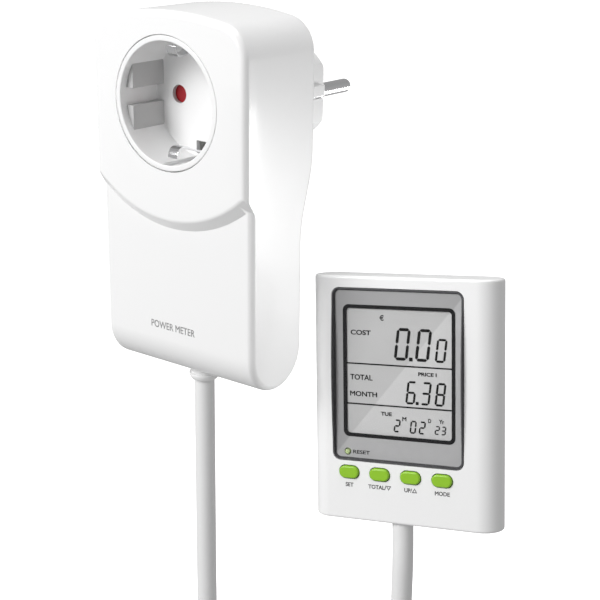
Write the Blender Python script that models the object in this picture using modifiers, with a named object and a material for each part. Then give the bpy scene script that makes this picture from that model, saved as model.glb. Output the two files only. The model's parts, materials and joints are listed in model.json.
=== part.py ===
"""Plug-in power meter: a wall-plug socket module, a remote display unit and the cord joining them.

Lengths are in millimetres and become metres where a mesh is made. The world frame has its origin
at the centre of the plug's end face, +Y into the wall, -Y out of the front and +Z up. The module
is drawn as (x, depth behind its front face, z above the socket axis), the display as (x, depth
behind its front face, z above its centre), and an empty places each of the two.
"""
import math

import bmesh
import bpy
from mathutils import Matrix, Vector

MM = 0.001
GAP = 0.3
MERGE = 0.00001

# Module housing
HALF_WIDTH = 31.95
MIDDLE = 0.75
TOP = 28.8
BOTTOM = -92.0
UPPER_BACK = 34.8
LOWER_BACK = 29.0
STEP_DEPTH = 3.0
END_RADIUS = (LOWER_BACK - STEP_DEPTH) / 2
END_DEPTH = (LOWER_BACK + STEP_DEPTH) / 2
END_CENTRE = BOTTOM + END_RADIUS
ARCH_RADIUS = 125.0
CORNER_RADIUS = 11.0
BIB_CENTRE = 8.3
BIB_RADIUS = 45.5
BIB_SLOPE = 1.15
BEND_TOP = -15.0
BEND_BOTTOM = -45.0
WALL = 2.2
COVER_BOTTOM = -74.0
FAR = 130.0

# Socket recess and plug, standard two-pole sizes with side earth clips
RECESS_RADIUS = 19.45
RING_RADIUS = 21.2
RING_FRONT = 0.1
RECESS_FLOOR = 17.1
FLOOR_BACK = 18.6
GUIDE_FACE = 16.3
GUIDE_START = 2.8
GUIDE_SPAN = (2.75, 11.2)
PIN_X = 9.5
HOLE_RADIUS = 3.0
PLUG_Z = -3.0
PLUG_FACE = 64.5
PLUG_RADIUS = 16.5
PLUG_FLAT = 13.2
RIB_RISE = 1.0
PIN_RADIUS = 2.4
PIN_LENGTH = 19.0
EARTH_WIDTH = 4.0
CLIP_PIVOT_DEPTH = 22.5
CLIP_PIVOT_Z = 17.25

# Inside the module
SHUTTER_FRONT = 18.95
SHUTTER_BACK = 20.35
BOARD_FRONT = 20.0
BOARD_BACK = 21.6
MODULE_SCREWS = ((-23.0, 17.5), (24.5, 17.5), (-23.5, -66.0), (25.0, -66.0))

# Display unit
DISPLAY_WIDTH = 64.2
DISPLAY_HEIGHT = 79.8
DISPLAY_DEPTH = 13.5
DISPLAY_SEAM = 11.0
DISPLAY_PLACE = (70.9, -33.7, -88.1)
DISPLAY_TURN = (10.75, -9.9, -6.5)
PANEL = (-1.0, 7.9, 43.9, 55.2)
PANEL_CORNER = 2.4
WINDOW_BOW = 1.9
LCD = (-1.0, 9.1, 37.7, 42.0)
BUTTON_Z = -24.1
BUTTON_PITCH = 10.7
BUTTON_MIDDLE = -2.0
BUTTON_SIZE = (7.2, 4.3)
RESET_PLACE = (-18.85, -17.5)
DISPLAY_SCREWS = (26.6, 33.6)
DISPLAY_EXIT = (-1.5, 5.2)
BATTERY_WELL = (-12.0, 12.0, -14.0, 12.0)
DOOR_RAIL = (12.0, 12.8)
DOOR_TRAVEL = 12.0
BUTTONS = [(name, BUTTON_MIDDLE + (index - 1.5) * BUTTON_PITCH)
           for index, name in enumerate(("set_button", "total_button", "up_button", "mode_button"))]

# Cord
CORD = 6.9
CORD_X = 1.0
COIL_CENTRE = (38.0, -43.3, -252.0)
COIL_OUTER = 46.0
COIL_INNER = 27.4
COIL_LAYERS = 7.1
COIL_CLEAR = 27.5
MODULE_LEAD_STRAIGHT = -183.0
DISPLAY_LEAD_STRAIGHT = -165.0

MATERIALS = {
    "gloss_white": ((0.90, 0.90, 0.90), 0.25, 0.0),
    "insert_white": ((0.88, 0.88, 0.88), 0.30, 0.0),
    "inner_plastic": ((0.62, 0.62, 0.60), 0.55, 0.0),
    "shutter_red": ((0.60, 0.04, 0.05), 0.45, 0.0),
    "nickel": ((0.75, 0.75, 0.76), 0.18, 1.0),
    "bronze": ((0.72, 0.52, 0.28), 0.35, 1.0),
    "steel": ((0.55, 0.55, 0.57), 0.35, 1.0),
    "board_green": ((0.05, 0.28, 0.12), 0.50, 0.0),
    "black_plastic": ((0.03, 0.03, 0.03), 0.45, 0.0),
    "capacitor_yellow": ((0.72, 0.58, 0.12), 0.45, 0.0),
    "panel_silver": ((0.60, 0.61, 0.62), 0.35, 0.6),
    "window_clear": ((0.95, 0.96, 0.97), 0.05, 0.0),
    "lcd_grey": ((0.68, 0.69, 0.67), 0.20, 0.0),
    "button_green": ((0.28, 0.60, 0.04), 0.40, 0.0),
    "rubber_grey": ((0.30, 0.30, 0.31), 0.80, 0.0),
    "cord_white": ((0.86, 0.86, 0.86), 0.40, 0.0),
    "tie_black": ((0.04, 0.04, 0.04), 0.80, 0.0),
}

parts = None
cutters = None
frames = {}
cutter_count = 0


def start_scene():
    """Empty the scene and make the two collections and the three placing empties."""
    global parts, cutters
    for obj in list(bpy.data.objects):
        bpy.data.objects.remove(obj, do_unlink=True)
    parts = bpy.data.collections.new("plug_in_power_meter")
    cutters = bpy.data.collections.new("cutters")
    yaw, lean, roll = (math.radians(angle) for angle in DISPLAY_TURN)
    turn = Matrix.Rotation(yaw, 4, "Z") @ Matrix.Rotation(lean, 4, "X") @ Matrix.Rotation(roll, 4, "Y")
    places = {
        "world": Matrix.Identity(4),
        "module": Matrix.Translation(Vector((0.0, -PLUG_FACE, -PLUG_Z)) * MM),
        "display": Matrix.Translation(Vector(DISPLAY_PLACE) * MM) @ turn,
    }
    for collection in (parts, cutters):
        bpy.context.scene.collection.children.link(collection)
    for name, place in places.items():
        empty = bpy.data.objects.new(name + "_frame", None)
        empty.matrix_world = place
        parts.objects.link(empty)
        frames[name] = empty


def material(name):
    """One Principled material for each finish."""
    if name in bpy.data.materials:
        return bpy.data.materials[name]
    colour, roughness, metallic = MATERIALS[name]
    made = bpy.data.materials.new(name)
    made.use_nodes = True
    shader = made.node_tree.nodes["Principled BSDF"]
    shader.inputs["Base Color"].default_value = (*colour, 1.0)
    shader.inputs["Roughness"].default_value = roughness
    shader.inputs["Metallic"].default_value = metallic
    return made


def part(name, bm, finish, frame, origin=(0.0, 0.0, 0.0)):
    """Make a named part from a bmesh in millimetres, with its own origin in its frame."""
    bmesh.ops.translate(bm, verts=bm.verts, vec=-Vector(origin))
    bmesh.ops.scale(bm, verts=bm.verts, vec=(MM, MM, MM))
    mesh = bpy.data.meshes.new(name)
    bm.to_mesh(mesh)
    bm.free()
    mesh.shade_smooth()
    mesh.set_sharp_from_angle(angle=math.radians(35))
    mesh.materials.append(material(finish))
    obj = bpy.data.objects.new(name, mesh)
    obj.location = Vector(origin) * MM
    obj.parent = frames[frame]
    parts.objects.link(obj)
    return obj


def cutter(bm, frame):
    """Make a hidden solid that only shapes other parts."""
    global cutter_count
    cutter_count += 1
    obj = part("cutter_%02d" % cutter_count, bm, "gloss_white", frame)
    parts.objects.unlink(obj)
    cutters.objects.link(obj)
    obj.hide_render = True
    obj.display_type = "WIRE"
    return obj


def boolean(obj, other, operation="DIFFERENCE"):
    """Add a Boolean with another object."""
    modifier = obj.modifiers.new(operation.lower(), "BOOLEAN")
    modifier.operation = operation
    modifier.object = other
    modifier.solver = "EXACT"


def bevel(obj, width, segments, angle=40.0):
    """Round the edges sharper than an angle."""
    modifier = obj.modifiers.new("bevel", "BEVEL")
    modifier.width = width * MM
    modifier.segments = segments
    modifier.limit_method = "ANGLE"
    modifier.angle_limit = math.radians(angle)


def box(x, y, z):
    """A box from its ranges along x, y and z."""
    bm = bmesh.new()
    middle = Vector(((x[0] + x[1]) / 2, (y[0] + y[1]) / 2, (z[0] + z[1]) / 2))
    size = Vector((x[1] - x[0], y[1] - y[0], z[1] - z[0], 1.0))
    bmesh.ops.create_cube(bm, size=1.0, matrix=Matrix.Translation(middle) @ Matrix.Diagonal(size))
    return bm


def rod(start, end, radius, segments=24, end_radius=None):
    """A round bar, or a cone where the radius at its end differs."""
    bm = bmesh.new()
    start = Vector(start)
    along = Vector(end) - start
    turn = Vector((0.0, 0.0, 1.0)).rotation_difference(along).to_matrix().to_4x4()
    bmesh.ops.create_cone(
        bm, cap_ends=True, segments=segments, radius1=radius,
        radius2=radius if end_radius is None else end_radius,
        depth=along.length, matrix=Matrix.Translation(start + along / 2) @ turn)
    return bm


def prism(outline, axis, low, high):
    """A flat outline pushed along an axis: (y, z) points along X, (x, z) along Y, (x, y) along Z."""
    place = {
        "X": lambda a, b, c: (c, a, b),
        "Y": lambda a, b, c: (a, c, b),
        "Z": lambda a, b, c: (a, b, c),
    }[axis]
    bm = bmesh.new()
    face = bm.faces.new([bm.verts.new(place(a, b, low)) for a, b in outline])
    grown = bmesh.ops.extrude_face_region(bm, geom=[face])["geom"]
    moved = [item for item in grown if isinstance(item, bmesh.types.BMVert)]
    bmesh.ops.translate(bm, verts=moved, vec=place(0.0, 0.0, high - low))
    bmesh.ops.recalc_face_normals(bm, faces=bm.faces)
    return bm


def arc(centre, radius, start, end, steps):
    """Points on an arc, both ends included, with angles in degrees."""
    points = []
    for step in range(steps + 1):
        angle = math.radians(start + (end - start) * step / steps)
        points.append((centre[0] + radius * math.cos(angle), centre[1] + radius * math.sin(angle)))
    return points


def rounded(centre, size, radius, steps=4):
    """A rectangle with round corners."""
    reach_x = size[0] / 2 - radius
    reach_z = size[1] / 2 - radius
    points = []
    for side_x, side_z, start in ((1, 1, 0), (-1, 1, 90), (-1, -1, 180), (1, -1, 270)):
        corner = (centre[0] + side_x * reach_x, centre[1] + side_z * reach_z)
        points += arc(corner, radius, start, start + 90, steps)
    return points


def pill(centre, size, steps=6):
    """A rectangle with fully round ends."""
    radius = size[1] / 2
    reach = size[0] / 2 - radius
    points = arc((centre[0] + reach, centre[1]), radius, -90, 90, steps)
    return points + arc((centre[0] - reach, centre[1]), radius, 90, 270, steps)


def turned(name, profile, finish, frame, place, axis, steps=24):
    """A round part: a profile of (radius, height) from its top to its bottom, turned about an axis."""
    bm = bmesh.new()
    ring = [bm.verts.new((radius, 0.0, height)) for radius, height in profile]
    closed = profile[0][0] > 0.0
    for index in range(len(ring) - (0 if closed else 1)):
        bm.edges.new((ring[index], ring[(index + 1) % len(ring)]))
    obj = part(name, bm, finish, frame)
    obj.location = Vector(place) * MM
    obj.rotation_mode = "QUATERNION"
    obj.rotation_quaternion = Vector((0.0, 0.0, 1.0)).rotation_difference(Vector(axis))
    screw = obj.modifiers.new("turn", "SCREW")
    screw.steps = steps
    screw.render_steps = steps
    screw.use_merge_vertices = True
    screw.merge_threshold = MERGE
    return obj


def side_profile(inset):
    """The housing seen from its side, as (depth, z), with its round lower end and bent back."""
    back_low = LOWER_BACK - inset
    back_high = UPPER_BACK - inset
    points = [(STEP_DEPTH + inset, FAR)]
    points += arc((END_DEPTH, END_CENTRE), END_RADIUS - inset, 180, 360, 20)
    bend_steps = 10
    for step in range(bend_steps + 1):
        share = step / bend_steps
        ease = (1 - math.cos(math.pi * share)) / 2
        z = BEND_BOTTOM + (BEND_TOP - BEND_BOTTOM) * share
        points.append((back_low + (back_high - back_low) * ease, z))
    points.append((back_high, FAR))
    return points


def front_outline(inset, bottom=-FAR):
    """The housing seen from the front, as (x, z): straight sides, round shoulders and a low arch."""
    arch_centre = TOP - ARCH_RADIUS
    shoulder_x = HALF_WIDTH - CORNER_RADIUS
    shoulder_z = arch_centre + math.sqrt((ARCH_RADIUS - CORNER_RADIUS) ** 2 - shoulder_x ** 2)
    meet = math.degrees(math.atan2(shoulder_z - arch_centre, shoulder_x))
    points = [(HALF_WIDTH - inset, bottom)]
    points += arc((shoulder_x, shoulder_z), CORNER_RADIUS - inset, 0, meet, 6)
    points += arc((0, arch_centre), ARCH_RADIUS - inset, meet, 180 - meet, 8)[1:-1]
    points += arc((-shoulder_x, shoulder_z), CORNER_RADIUS - inset, 180 - meet, 180, 6)
    points.append((-HALF_WIDTH + inset, bottom))
    return [(x + MIDDLE, z) for x, z in points]


def module_block(obj, inset):
    """Shape an object made from the side profile into the whole housing, inset all round."""
    radius = BIB_RADIUS - inset
    reach = 9.0
    bib = cutter(rod((MIDDLE, inset, BIB_CENTRE), (MIDDLE, inset + reach, BIB_CENTRE), radius, 96,
                     radius + BIB_SLOPE * reach), "module")
    boolean(obj, bib, "UNION")
    boolean(obj, cutter(prism(front_outline(inset), "Y", -20.0, 80.0), "module"), "INTERSECT")


def make_module_housing():
    """The deep front shell: front face, sides and round lower end, open at the back."""
    width = HALF_WIDTH + 20.0
    housing = part("module_housing", prism(side_profile(0.0), "X", -width, width), "gloss_white", "module")
    module_block(housing, 0.0)
    bevel(housing, 1.6, 2)
    hollow = cutter(prism(side_profile(WALL), "X", -width, width), "module")
    module_block(hollow, WALL)
    boolean(housing, hollow)
    opening = front_outline(WALL + 0.2, COVER_BOTTOM - GAP)
    boolean(housing, cutter(prism(opening, "Y", END_DEPTH, 60.0), "module"))
    boolean(housing, cutter(rod((0, -5, 0), (0, 12, 0), RING_RADIUS + GAP, 64), "module"))
    for x, z in MODULE_SCREWS:
        post_top = cover_depth(z) - WALL - GAP
        post_start = 1.2 if z > 0 else STEP_DEPTH + 1.2
        boolean(housing, cutter(rod((x, post_start, z), (x, post_top, z), 3.0, 16), "module"), "UNION")
        boolean(housing, cutter(rod((x, post_top - 11.0, z), (x, post_top + 5, z), 1.5, 12), "module"))
    for x in (-12.0, 12.0):
        stand = rod((x, STEP_DEPTH + 1.2, -50.0), (x, BOARD_FRONT - GAP, -50.0), 2.5, 12)
        boolean(housing, cutter(stand, "module"), "UNION")
    cord_hole = rod((CORD_X, END_DEPTH, BOTTOM - 5), (CORD_X, END_DEPTH, BOTTOM + 9), 4.5 + GAP, 24)
    boolean(housing, cutter(cord_hole, "module"))


def cover_depth(z):
    """Depth of the housing's back face at a height."""
    if z >= BEND_TOP:
        return UPPER_BACK
    if z <= BEND_BOTTOM:
        return LOWER_BACK
    share = (z - BEND_BOTTOM) / (BEND_TOP - BEND_BOTTOM)
    return LOWER_BACK + (UPPER_BACK - LOWER_BACK) * (1 - math.cos(math.pi * share)) / 2


def make_back_cover():
    """The back plate, bent like the housing's side, with the plug hole and screw recesses."""
    width = HALF_WIDTH + 20.0
    sheet = [point for point in side_profile(0.0) if point[0] >= LOWER_BACK - 0.01]
    inner = [(depth - WALL, z) for depth, z in reversed(sheet)]
    cover = part("module_back_cover", prism(sheet + inner, "X", -width, width), "gloss_white", "module")
    outline = front_outline(WALL + 0.2 + GAP, COVER_BOTTOM)
    boolean(cover, cutter(prism(outline, "Y", 10.0, 60.0), "module"), "INTERSECT")
    plug_hole = rod((0, 20, PLUG_Z), (0, 50, PLUG_Z), PLUG_RADIUS + GAP, 48)
    boolean(cover, cutter(plug_hole, "module"))
    for x, z in MODULE_SCREWS:
        back = cover_depth(z)
        boolean(cover, cutter(rod((x, 20, z), (x, back + 5, z), 1.5, 12), "module"))
        boolean(cover, cutter(rod((x, back - 1.3, z), (x, back + 5, z), 2.9, 20), "module"))


def screw_profile(head_radius, head, shank_radius, shank):
    """The turned profile of a pan screw, from its head down to its point."""
    return [(0.0, 0.0), (head_radius * 0.75, 0.0), (head_radius, -0.6), (head_radius, -head),
            (shank_radius, -head), (shank_radius, -head - shank), (0.0, -head - shank - 0.8)]


def make_module_screws():
    """Four screws that hold the back cover to the housing's posts."""
    for number, (x, z) in enumerate(MODULE_SCREWS, 1):
        back = cover_depth(z)
        turned("back_cover_screw_%d" % number, screw_profile(2.5, 1.0, 1.1, 9.0), "steel", "module",
               (x, back - 0.2, z), (0, 1, 0), 16)


def make_socket_insert():
    """The cup with its ring, four guide blocks, pin holes and earth clip slots."""
    edge = RING_FRONT + 0.4
    profile = [(0.0, FLOOR_BACK), (RING_RADIUS, FLOOR_BACK), (RING_RADIUS, edge),
               (RING_RADIUS - 0.4, RING_FRONT), (RECESS_RADIUS + 0.4, RING_FRONT), (RECESS_RADIUS, edge),
               (RECESS_RADIUS, RECESS_FLOOR), (0.0, RECESS_FLOOR)]
    insert = turned("socket_insert", profile, "insert_white", "module", (0, 0, 0), (0, 1, 0), 64)
    for side in (-1, 1):
        for level in (-1, 1):
            x = sorted((side * GUIDE_FACE, side * (RECESS_RADIUS + 0.6)))
            z = sorted((level * GUIDE_SPAN[0], level * GUIDE_SPAN[1]))
            guide = box(x, (GUIDE_START, RECESS_FLOOR + 0.6), z)
            boolean(insert, cutter(guide, "module"), "UNION")
        hole = rod((side * PIN_X, 10, 0), (side * PIN_X, 25, 0), HOLE_RADIUS, 24)
        boolean(insert, cutter(hole, "module"))
        slot_x = (-EARTH_WIDTH / 2 - GAP, EARTH_WIDTH / 2 + GAP)
        slot_z = sorted((side * 14.2, side * 18.4))
        boolean(insert, cutter(box(slot_x, (10, 25), slot_z), "module"))
        channel_z = sorted((side * (RECESS_RADIUS - 2.0), side * (RING_RADIUS - 0.8)))
        boolean(insert, cutter(box(slot_x, (0.8, RECESS_FLOOR), channel_z), "module"))


def clip_outline(side):
    """An earth clip as (depth, z): a hooked nose, a hump towards the axis and a tail through the floor."""
    inner = arc((6.3, 17.2), 3.2, 170, 270, 6) + [(9.8, 15.0), (13.0, 16.2), (17.6, 16.9), (23.5, 16.9)]
    outer = arc((6.3, 17.2), 2.5, 170, 270, 6) + [(9.6, 15.7), (12.9, 16.9), (17.6, 17.6), (23.5, 17.6)]
    return [(depth, side * z) for depth, z in inner + list(reversed(outer))]


def make_earth_clips():
    """Two sprung earth clips that swing outwards about their anchors behind the socket floor."""
    for name, side in (("top", 1), ("bottom", -1)):
        bm = prism(clip_outline(side), "X", -EARTH_WIDTH / 2, EARTH_WIDTH / 2)
        part("socket_earth_clip_" + name, bm, "nickel", "module", (0, CLIP_PIVOT_DEPTH, side * CLIP_PIVOT_Z))


def make_contact_carrier():
    """The block behind the socket floor that holds the contacts, with the shutter's well in front."""
    front = FLOOR_BACK + GAP
    carrier = part("contact_carrier", rod((0, front, 0), (0, 31.0, 0), 20.6, 48), "inner_plastic", "module")
    boolean(carrier, cutter(rod((0, 10, 0), (0, SHUTTER_BACK + GAP, 0), 14.2, 40), "module"))
    for side in (-1, 1):
        x = sorted((side * (PIN_X - 4.6), side * (PIN_X + 4.6)))
        boolean(carrier, cutter(box(x, (15, 40), (-4.4, 4.4)), "module"))
        clip_x = (-EARTH_WIDTH / 2 - GAP, EARTH_WIDTH / 2 + GAP)
        clip_z = sorted((side * 15.0, side * 25.0))
        boolean(carrier, cutter(box(clip_x, (15, 27.0), clip_z), "module"))
    boolean(carrier, cutter(rod((0, 15, 0), (0, 23.8, 0), 3.8, 24), "module"))
    boolean(carrier, cutter(rod((0, 15, 0), (0, 40, 0), 1.9, 16), "module"))


def make_shutter():
    """The red safety shutter, a two-winged plate on a post, with its post and return spring."""
    wing = rounded((0, 0), (26.4, 7.6), 3.7, 5)
    bm = prism(wing, "Y", SHUTTER_FRONT, SHUTTER_BACK)
    shutter = part("pin_shutter", bm, "shutter_red", "module", (0, SHUTTER_FRONT, 0))
    boolean(shutter, cutter(rod((0, 15, 0), (0, 30, 0), 1.7, 20), "module"))
    post = [(0.0, 31.9), (3.2, 31.9), (3.2, 31.3), (1.3, 31.3), (1.3, 18.95), (0.0, 18.95)]
    turned("shutter_post", post, "steel", "module", (0, 0, 0), (0, 1, 0), 16)
    tube("shutter_spring", helix(2.9, 20.95, 23.3, 2.5), 0.35, 0, "steel", "module")


def helix(radius, start, end, turns):
    """Points along a helix about the socket axis."""
    steps = int(turns * 14)
    points = []
    for step in range(steps + 1):
        angle = 2 * math.pi * turns * step / steps
        depth = start + (end - start) * step / steps
        points.append((radius * math.cos(angle), depth, radius * math.sin(angle)))
    return points


def tube(name, points, radius, resolution, finish, frame):
    """A round tube along points, with closed ends."""
    curve = bpy.data.curves.new(name, "CURVE")
    curve.dimensions = "3D"
    curve.bevel_depth = radius * MM
    curve.bevel_resolution = resolution
    curve.use_fill_caps = True
    spline = curve.splines.new("POLY")
    spline.points.add(len(points) - 1)
    for target, point in zip(spline.points, points):
        target.co = (*(Vector(point) * MM), 1.0)
    curve.materials.append(material(finish))
    obj = bpy.data.objects.new(name, curve)
    obj.parent = frames[frame]
    parts.objects.link(obj)


def make_contacts():
    """The two sprung socket contacts and the bars that feed them from the plug pins."""
    for name, side in (("left", -1), ("right", 1)):
        x = side * PIN_X
        fork = [(x - 3.6, -3.2), (x + 3.6, -3.2), (x + 3.6, -2.4), (x - 2.7, -2.4),
                (x - 2.7, 2.4), (x + 3.6, 2.4), (x + 3.6, 3.2), (x - 3.6, 3.2)]
        if side > 0:
            fork = [(2 * x - px, pz) for px, pz in reversed(fork)]
        part("socket_contact_" + name, prism(fork, "Y", 21.0, 30.6), "bronze", "module")


def make_plug():
    """The round plug body with flats and ribs, its two pins and its two earth strips."""
    face = PLUG_FACE
    start = UPPER_BACK - WALL - GAP - 0.1
    barrel = rod((0, start, PLUG_Z), (0, face, PLUG_Z), PLUG_RADIUS, 64)
    body = part("plug_body", barrel, "gloss_white", "module")
    bevel(body, 1.2, 2, 60.0)
    for side in (-1, 1):
        x = sorted((side * PLUG_FLAT, side * 30.0))
        boolean(body, cutter(box(x, (UPPER_BACK + 1.0, 80), (PLUG_Z - 12, PLUG_Z + 12)), "module"))
        rib_x = sorted((side * (PLUG_FLAT - 1.0), side * (PLUG_FLAT + 1.3)))
        middle = PLUG_Z + RIB_RISE
        rib = box(rib_x, (UPPER_BACK + 0.6, face - 0.8), (middle - 1.9, middle + 1.9))
        boolean(body, cutter(rib, "module"), "UNION")
        groove_x = sorted((side * (PLUG_FLAT - 0.7), side * 30.0))
        groove = box(groove_x, (UPPER_BACK + 1.0, 80), (middle - 2.9, middle - 1.9))
        boolean(body, cutter(groove, "module"))
        pin_hole = rod((side * PIN_X, 20, PLUG_Z), (side * PIN_X, 80, PLUG_Z), PIN_RADIUS + GAP, 24)
        boolean(body, cutter(pin_hole, "module"))
        strip_z = sorted((PLUG_Z + side * (PLUG_RADIUS - 2.1), PLUG_Z + side * 30))
        strip = box((-EARTH_WIDTH / 2 - GAP, EARTH_WIDTH / 2 + GAP), (20, face - 1.5), strip_z)
        boolean(body, cutter(strip, "module"))
    well = rod((0, 20, PLUG_Z), (0, face - 4.0, PLUG_Z), 5.5, 24)
    boolean(body, cutter(well, "module"))
    for name, side in (("left", -1), ("right", 1)):
        pin = [(0.0, PIN_LENGTH), (1.3, PIN_LENGTH), (2.1, PIN_LENGTH - 0.5), (PIN_RADIUS, PIN_LENGTH - 1.6),
               (PIN_RADIUS, -32.5), (0.0, -32.5)]
        turned("plug_pin_" + name, pin, "nickel", "module", (side * PIN_X, face, PLUG_Z), (0, 1, 0), 24)
    for name, side in (("top", 1), ("bottom", -1)):
        z = sorted((PLUG_Z + side * (PLUG_RADIUS - 1.8), PLUG_Z + side * (PLUG_RADIUS - 1.0)))
        strip = part("plug_earth_strip_" + name,
                     box((-EARTH_WIDTH / 2, EARTH_WIDTH / 2), (start + 0.6, face - 1.9), z),
                     "nickel", "module")
        bevel(strip, 0.25, 1)


def make_meter_electronics():
    """The measuring board in the lower half of the module, with its main components."""
    plate = box((-20, 20), (BOARD_FRONT, BOARD_BACK), (-74.3, -27))
    board = part("meter_board", plate, "board_green", "module")
    bevel(board, 0.2, 1)
    front = BOARD_FRONT - GAP
    capacitor = part("supply_capacitor", box((-17, -3), (front - 10, front), (-47, -30)),
                     "capacitor_yellow", "module")
    bevel(capacitor, 0.8, 2)
    chip = part("metering_chip", box((2, 12), (front - 1.8, front), (-63, -56)), "black_plastic", "module")
    bevel(chip, 0.2, 1)
    turned("reservoir_capacitor", [(0.0, 0.0), (4.6, 0.0), (5.0, -0.4), (5.0, -11.0), (0.0, -11.0)],
           "black_plastic", "module", (-11, front - 11.0, -64), (0, -1, 0), 20)
    turned("surge_varistor", [(0.0, 2.0), (4.6, 2.0), (5.0, 1.6), (5.0, -1.6), (4.6, -2.0), (0.0, -2.0)],
           "capacitor_yellow", "module", (12, front - 5.2, -36), (1, 0, 0), 20)
    path = [(-9, 0), (-9, 4.2), (9, 4.2), (9, 0), (7.8, 0), (7.8, 3.0), (-7.8, 3.0), (-7.8, 0)]
    shunt = [(x, front - height) for x, height in path]
    part("current_shunt", prism(list(reversed(shunt)), "Z", -52.5, -49.0), "bronze", "module")
    socket = box((-4, 6), (front - 6, front), (-73.5, -68.5))
    bevel(part("cord_connector", socket, "insert_white", "module"), 0.3, 1)


def make_module_relief():
    """The cord's tapered strain relief in the module's lower end, held by its flange inside."""
    low = BOTTOM - 3.3
    profile = [(0.0, 20.5), (3.8, 20.5), (4.0, 20.2), (4.5, 9.3), (5.8, 9.3), (5.8, 7.7),
               (4.5, 7.7), (4.5, 2.4), (5.1, 2.2), (5.0, 1.2), (4.1, 0.0), (0.0, 0.0)]
    place = (CORD_X, END_DEPTH, low)
    turned("module_strain_relief", profile, "gloss_white", "module", place, (0, 0, 1), 28)


def display_outline(inset, steps=10):
    """The display's level section as (x, depth): flat front and back with fully round sides."""
    radius = DISPLAY_DEPTH / 2 - inset
    centre_x = DISPLAY_WIDTH / 2 - DISPLAY_DEPTH / 2
    right = arc((centre_x, DISPLAY_DEPTH / 2), radius, -90, 90, steps)
    return right + arc((-centre_x, DISPLAY_DEPTH / 2), radius, 90, 270, steps)


def make_display_shells():
    """The deep front shell, with its window seat and button holes, and the flat rear shell."""
    half = DISPLAY_HEIGHT / 2
    block = prism(display_outline(0.0), "Z", -half, half)
    shell = part("display_front_shell", block, "gloss_white", "display")
    bevel(shell, 0.9, 2, 60.0)
    hollow = prism(display_outline(2.0), "Z", -half + 2.0, half - 2.0)
    boolean(shell, cutter(hollow, "display"))
    behind = box((-60, 60), (DISPLAY_SEAM, 40), (-60, 60))
    boolean(shell, cutter(behind, "display"))
    x, z, width, height = PANEL
    seat = rounded((x, z), (width + 2 * GAP, height + 2 * GAP), PANEL_CORNER + GAP)
    boolean(shell, cutter(prism(seat, "Y", -5.0, 1.4), "display"))
    lcd_x, lcd_z, lcd_width, lcd_height = LCD
    opening = rounded((lcd_x, lcd_z), (lcd_width + 1.6, lcd_height + 1.6), 0.7, 1)
    boolean(shell, cutter(prism(opening, "Y", -5.0, 5.0), "display"))
    for name, x in BUTTONS:
        hole = pill((x, BUTTON_Z), (BUTTON_SIZE[0] + 2 * GAP, BUTTON_SIZE[1] + 2 * GAP))
        boolean(shell, cutter(prism(hole, "Y", -5.0, 5.0), "display"))
    reset_x, reset_z = RESET_PLACE
    boolean(shell, cutter(rod((reset_x, -5, reset_z), (reset_x, 5, reset_z), 1.4, 16), "display"))
    for x, z in display_screw_places():
        boolean(shell, cutter(rod((x, 1.2, z), (x, DISPLAY_SEAM - 0.1, z), 2.4, 14), "display"), "UNION")
        boolean(shell, cutter(rod((x, 4.0, z), (x, 20, z), 1.3, 12), "display"))
    exit_x, exit_depth = DISPLAY_EXIT
    exit_hole = rod((exit_x, exit_depth, -half - 5), (exit_x, exit_depth, -half + 7.5), 3.6 + GAP, 24)
    boolean(shell, cutter(exit_hole, "display"))
    seat = rod((exit_x, exit_depth, -half + 2.1), (exit_x, exit_depth, -half + 7.5), 4.1 + GAP, 24)
    boolean(shell, cutter(seat, "display"))

    block = prism(display_outline(0.0), "Z", -half, half)
    rear = part("display_rear_shell", block, "gloss_white", "display")
    bevel(rear, 0.9, 2, 60.0)
    boolean(rear, cutter(box((-60, 60), (-20, DISPLAY_SEAM + GAP), (-60, 60)), "display"))
    low_x, high_x, low_z, high_z = BATTERY_WELL
    boolean(rear, cutter(box((low_x, high_x), (5, 25), (low_z, high_z)), "display"))
    rail = box((low_x - 1.2, high_x + 1.2), (DOOR_RAIL[0] - GAP, DOOR_RAIL[1] + GAP),
               (low_z - DOOR_TRAVEL - 1.0, high_z))
    boolean(rear, cutter(rail, "display"))
    path = box((low_x, high_x), (DOOR_RAIL[1], 25), (low_z - DOOR_TRAVEL - 1.0, high_z))
    boolean(rear, cutter(path, "display"))
    for x, z in display_screw_places():
        boolean(rear, cutter(rod((x, 5, z), (x, 25, z), 1.3, 12), "display"))
        boolean(rear, cutter(rod((x, DISPLAY_DEPTH - 1.2, z), (x, 25, z), 2.5, 18), "display"))


def display_screw_places():
    """The four corners where the display's shells are screwed together."""
    return [(x * DISPLAY_SCREWS[0], z * DISPLAY_SCREWS[1]) for x in (-1, 1) for z in (-1, 1)]


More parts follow.
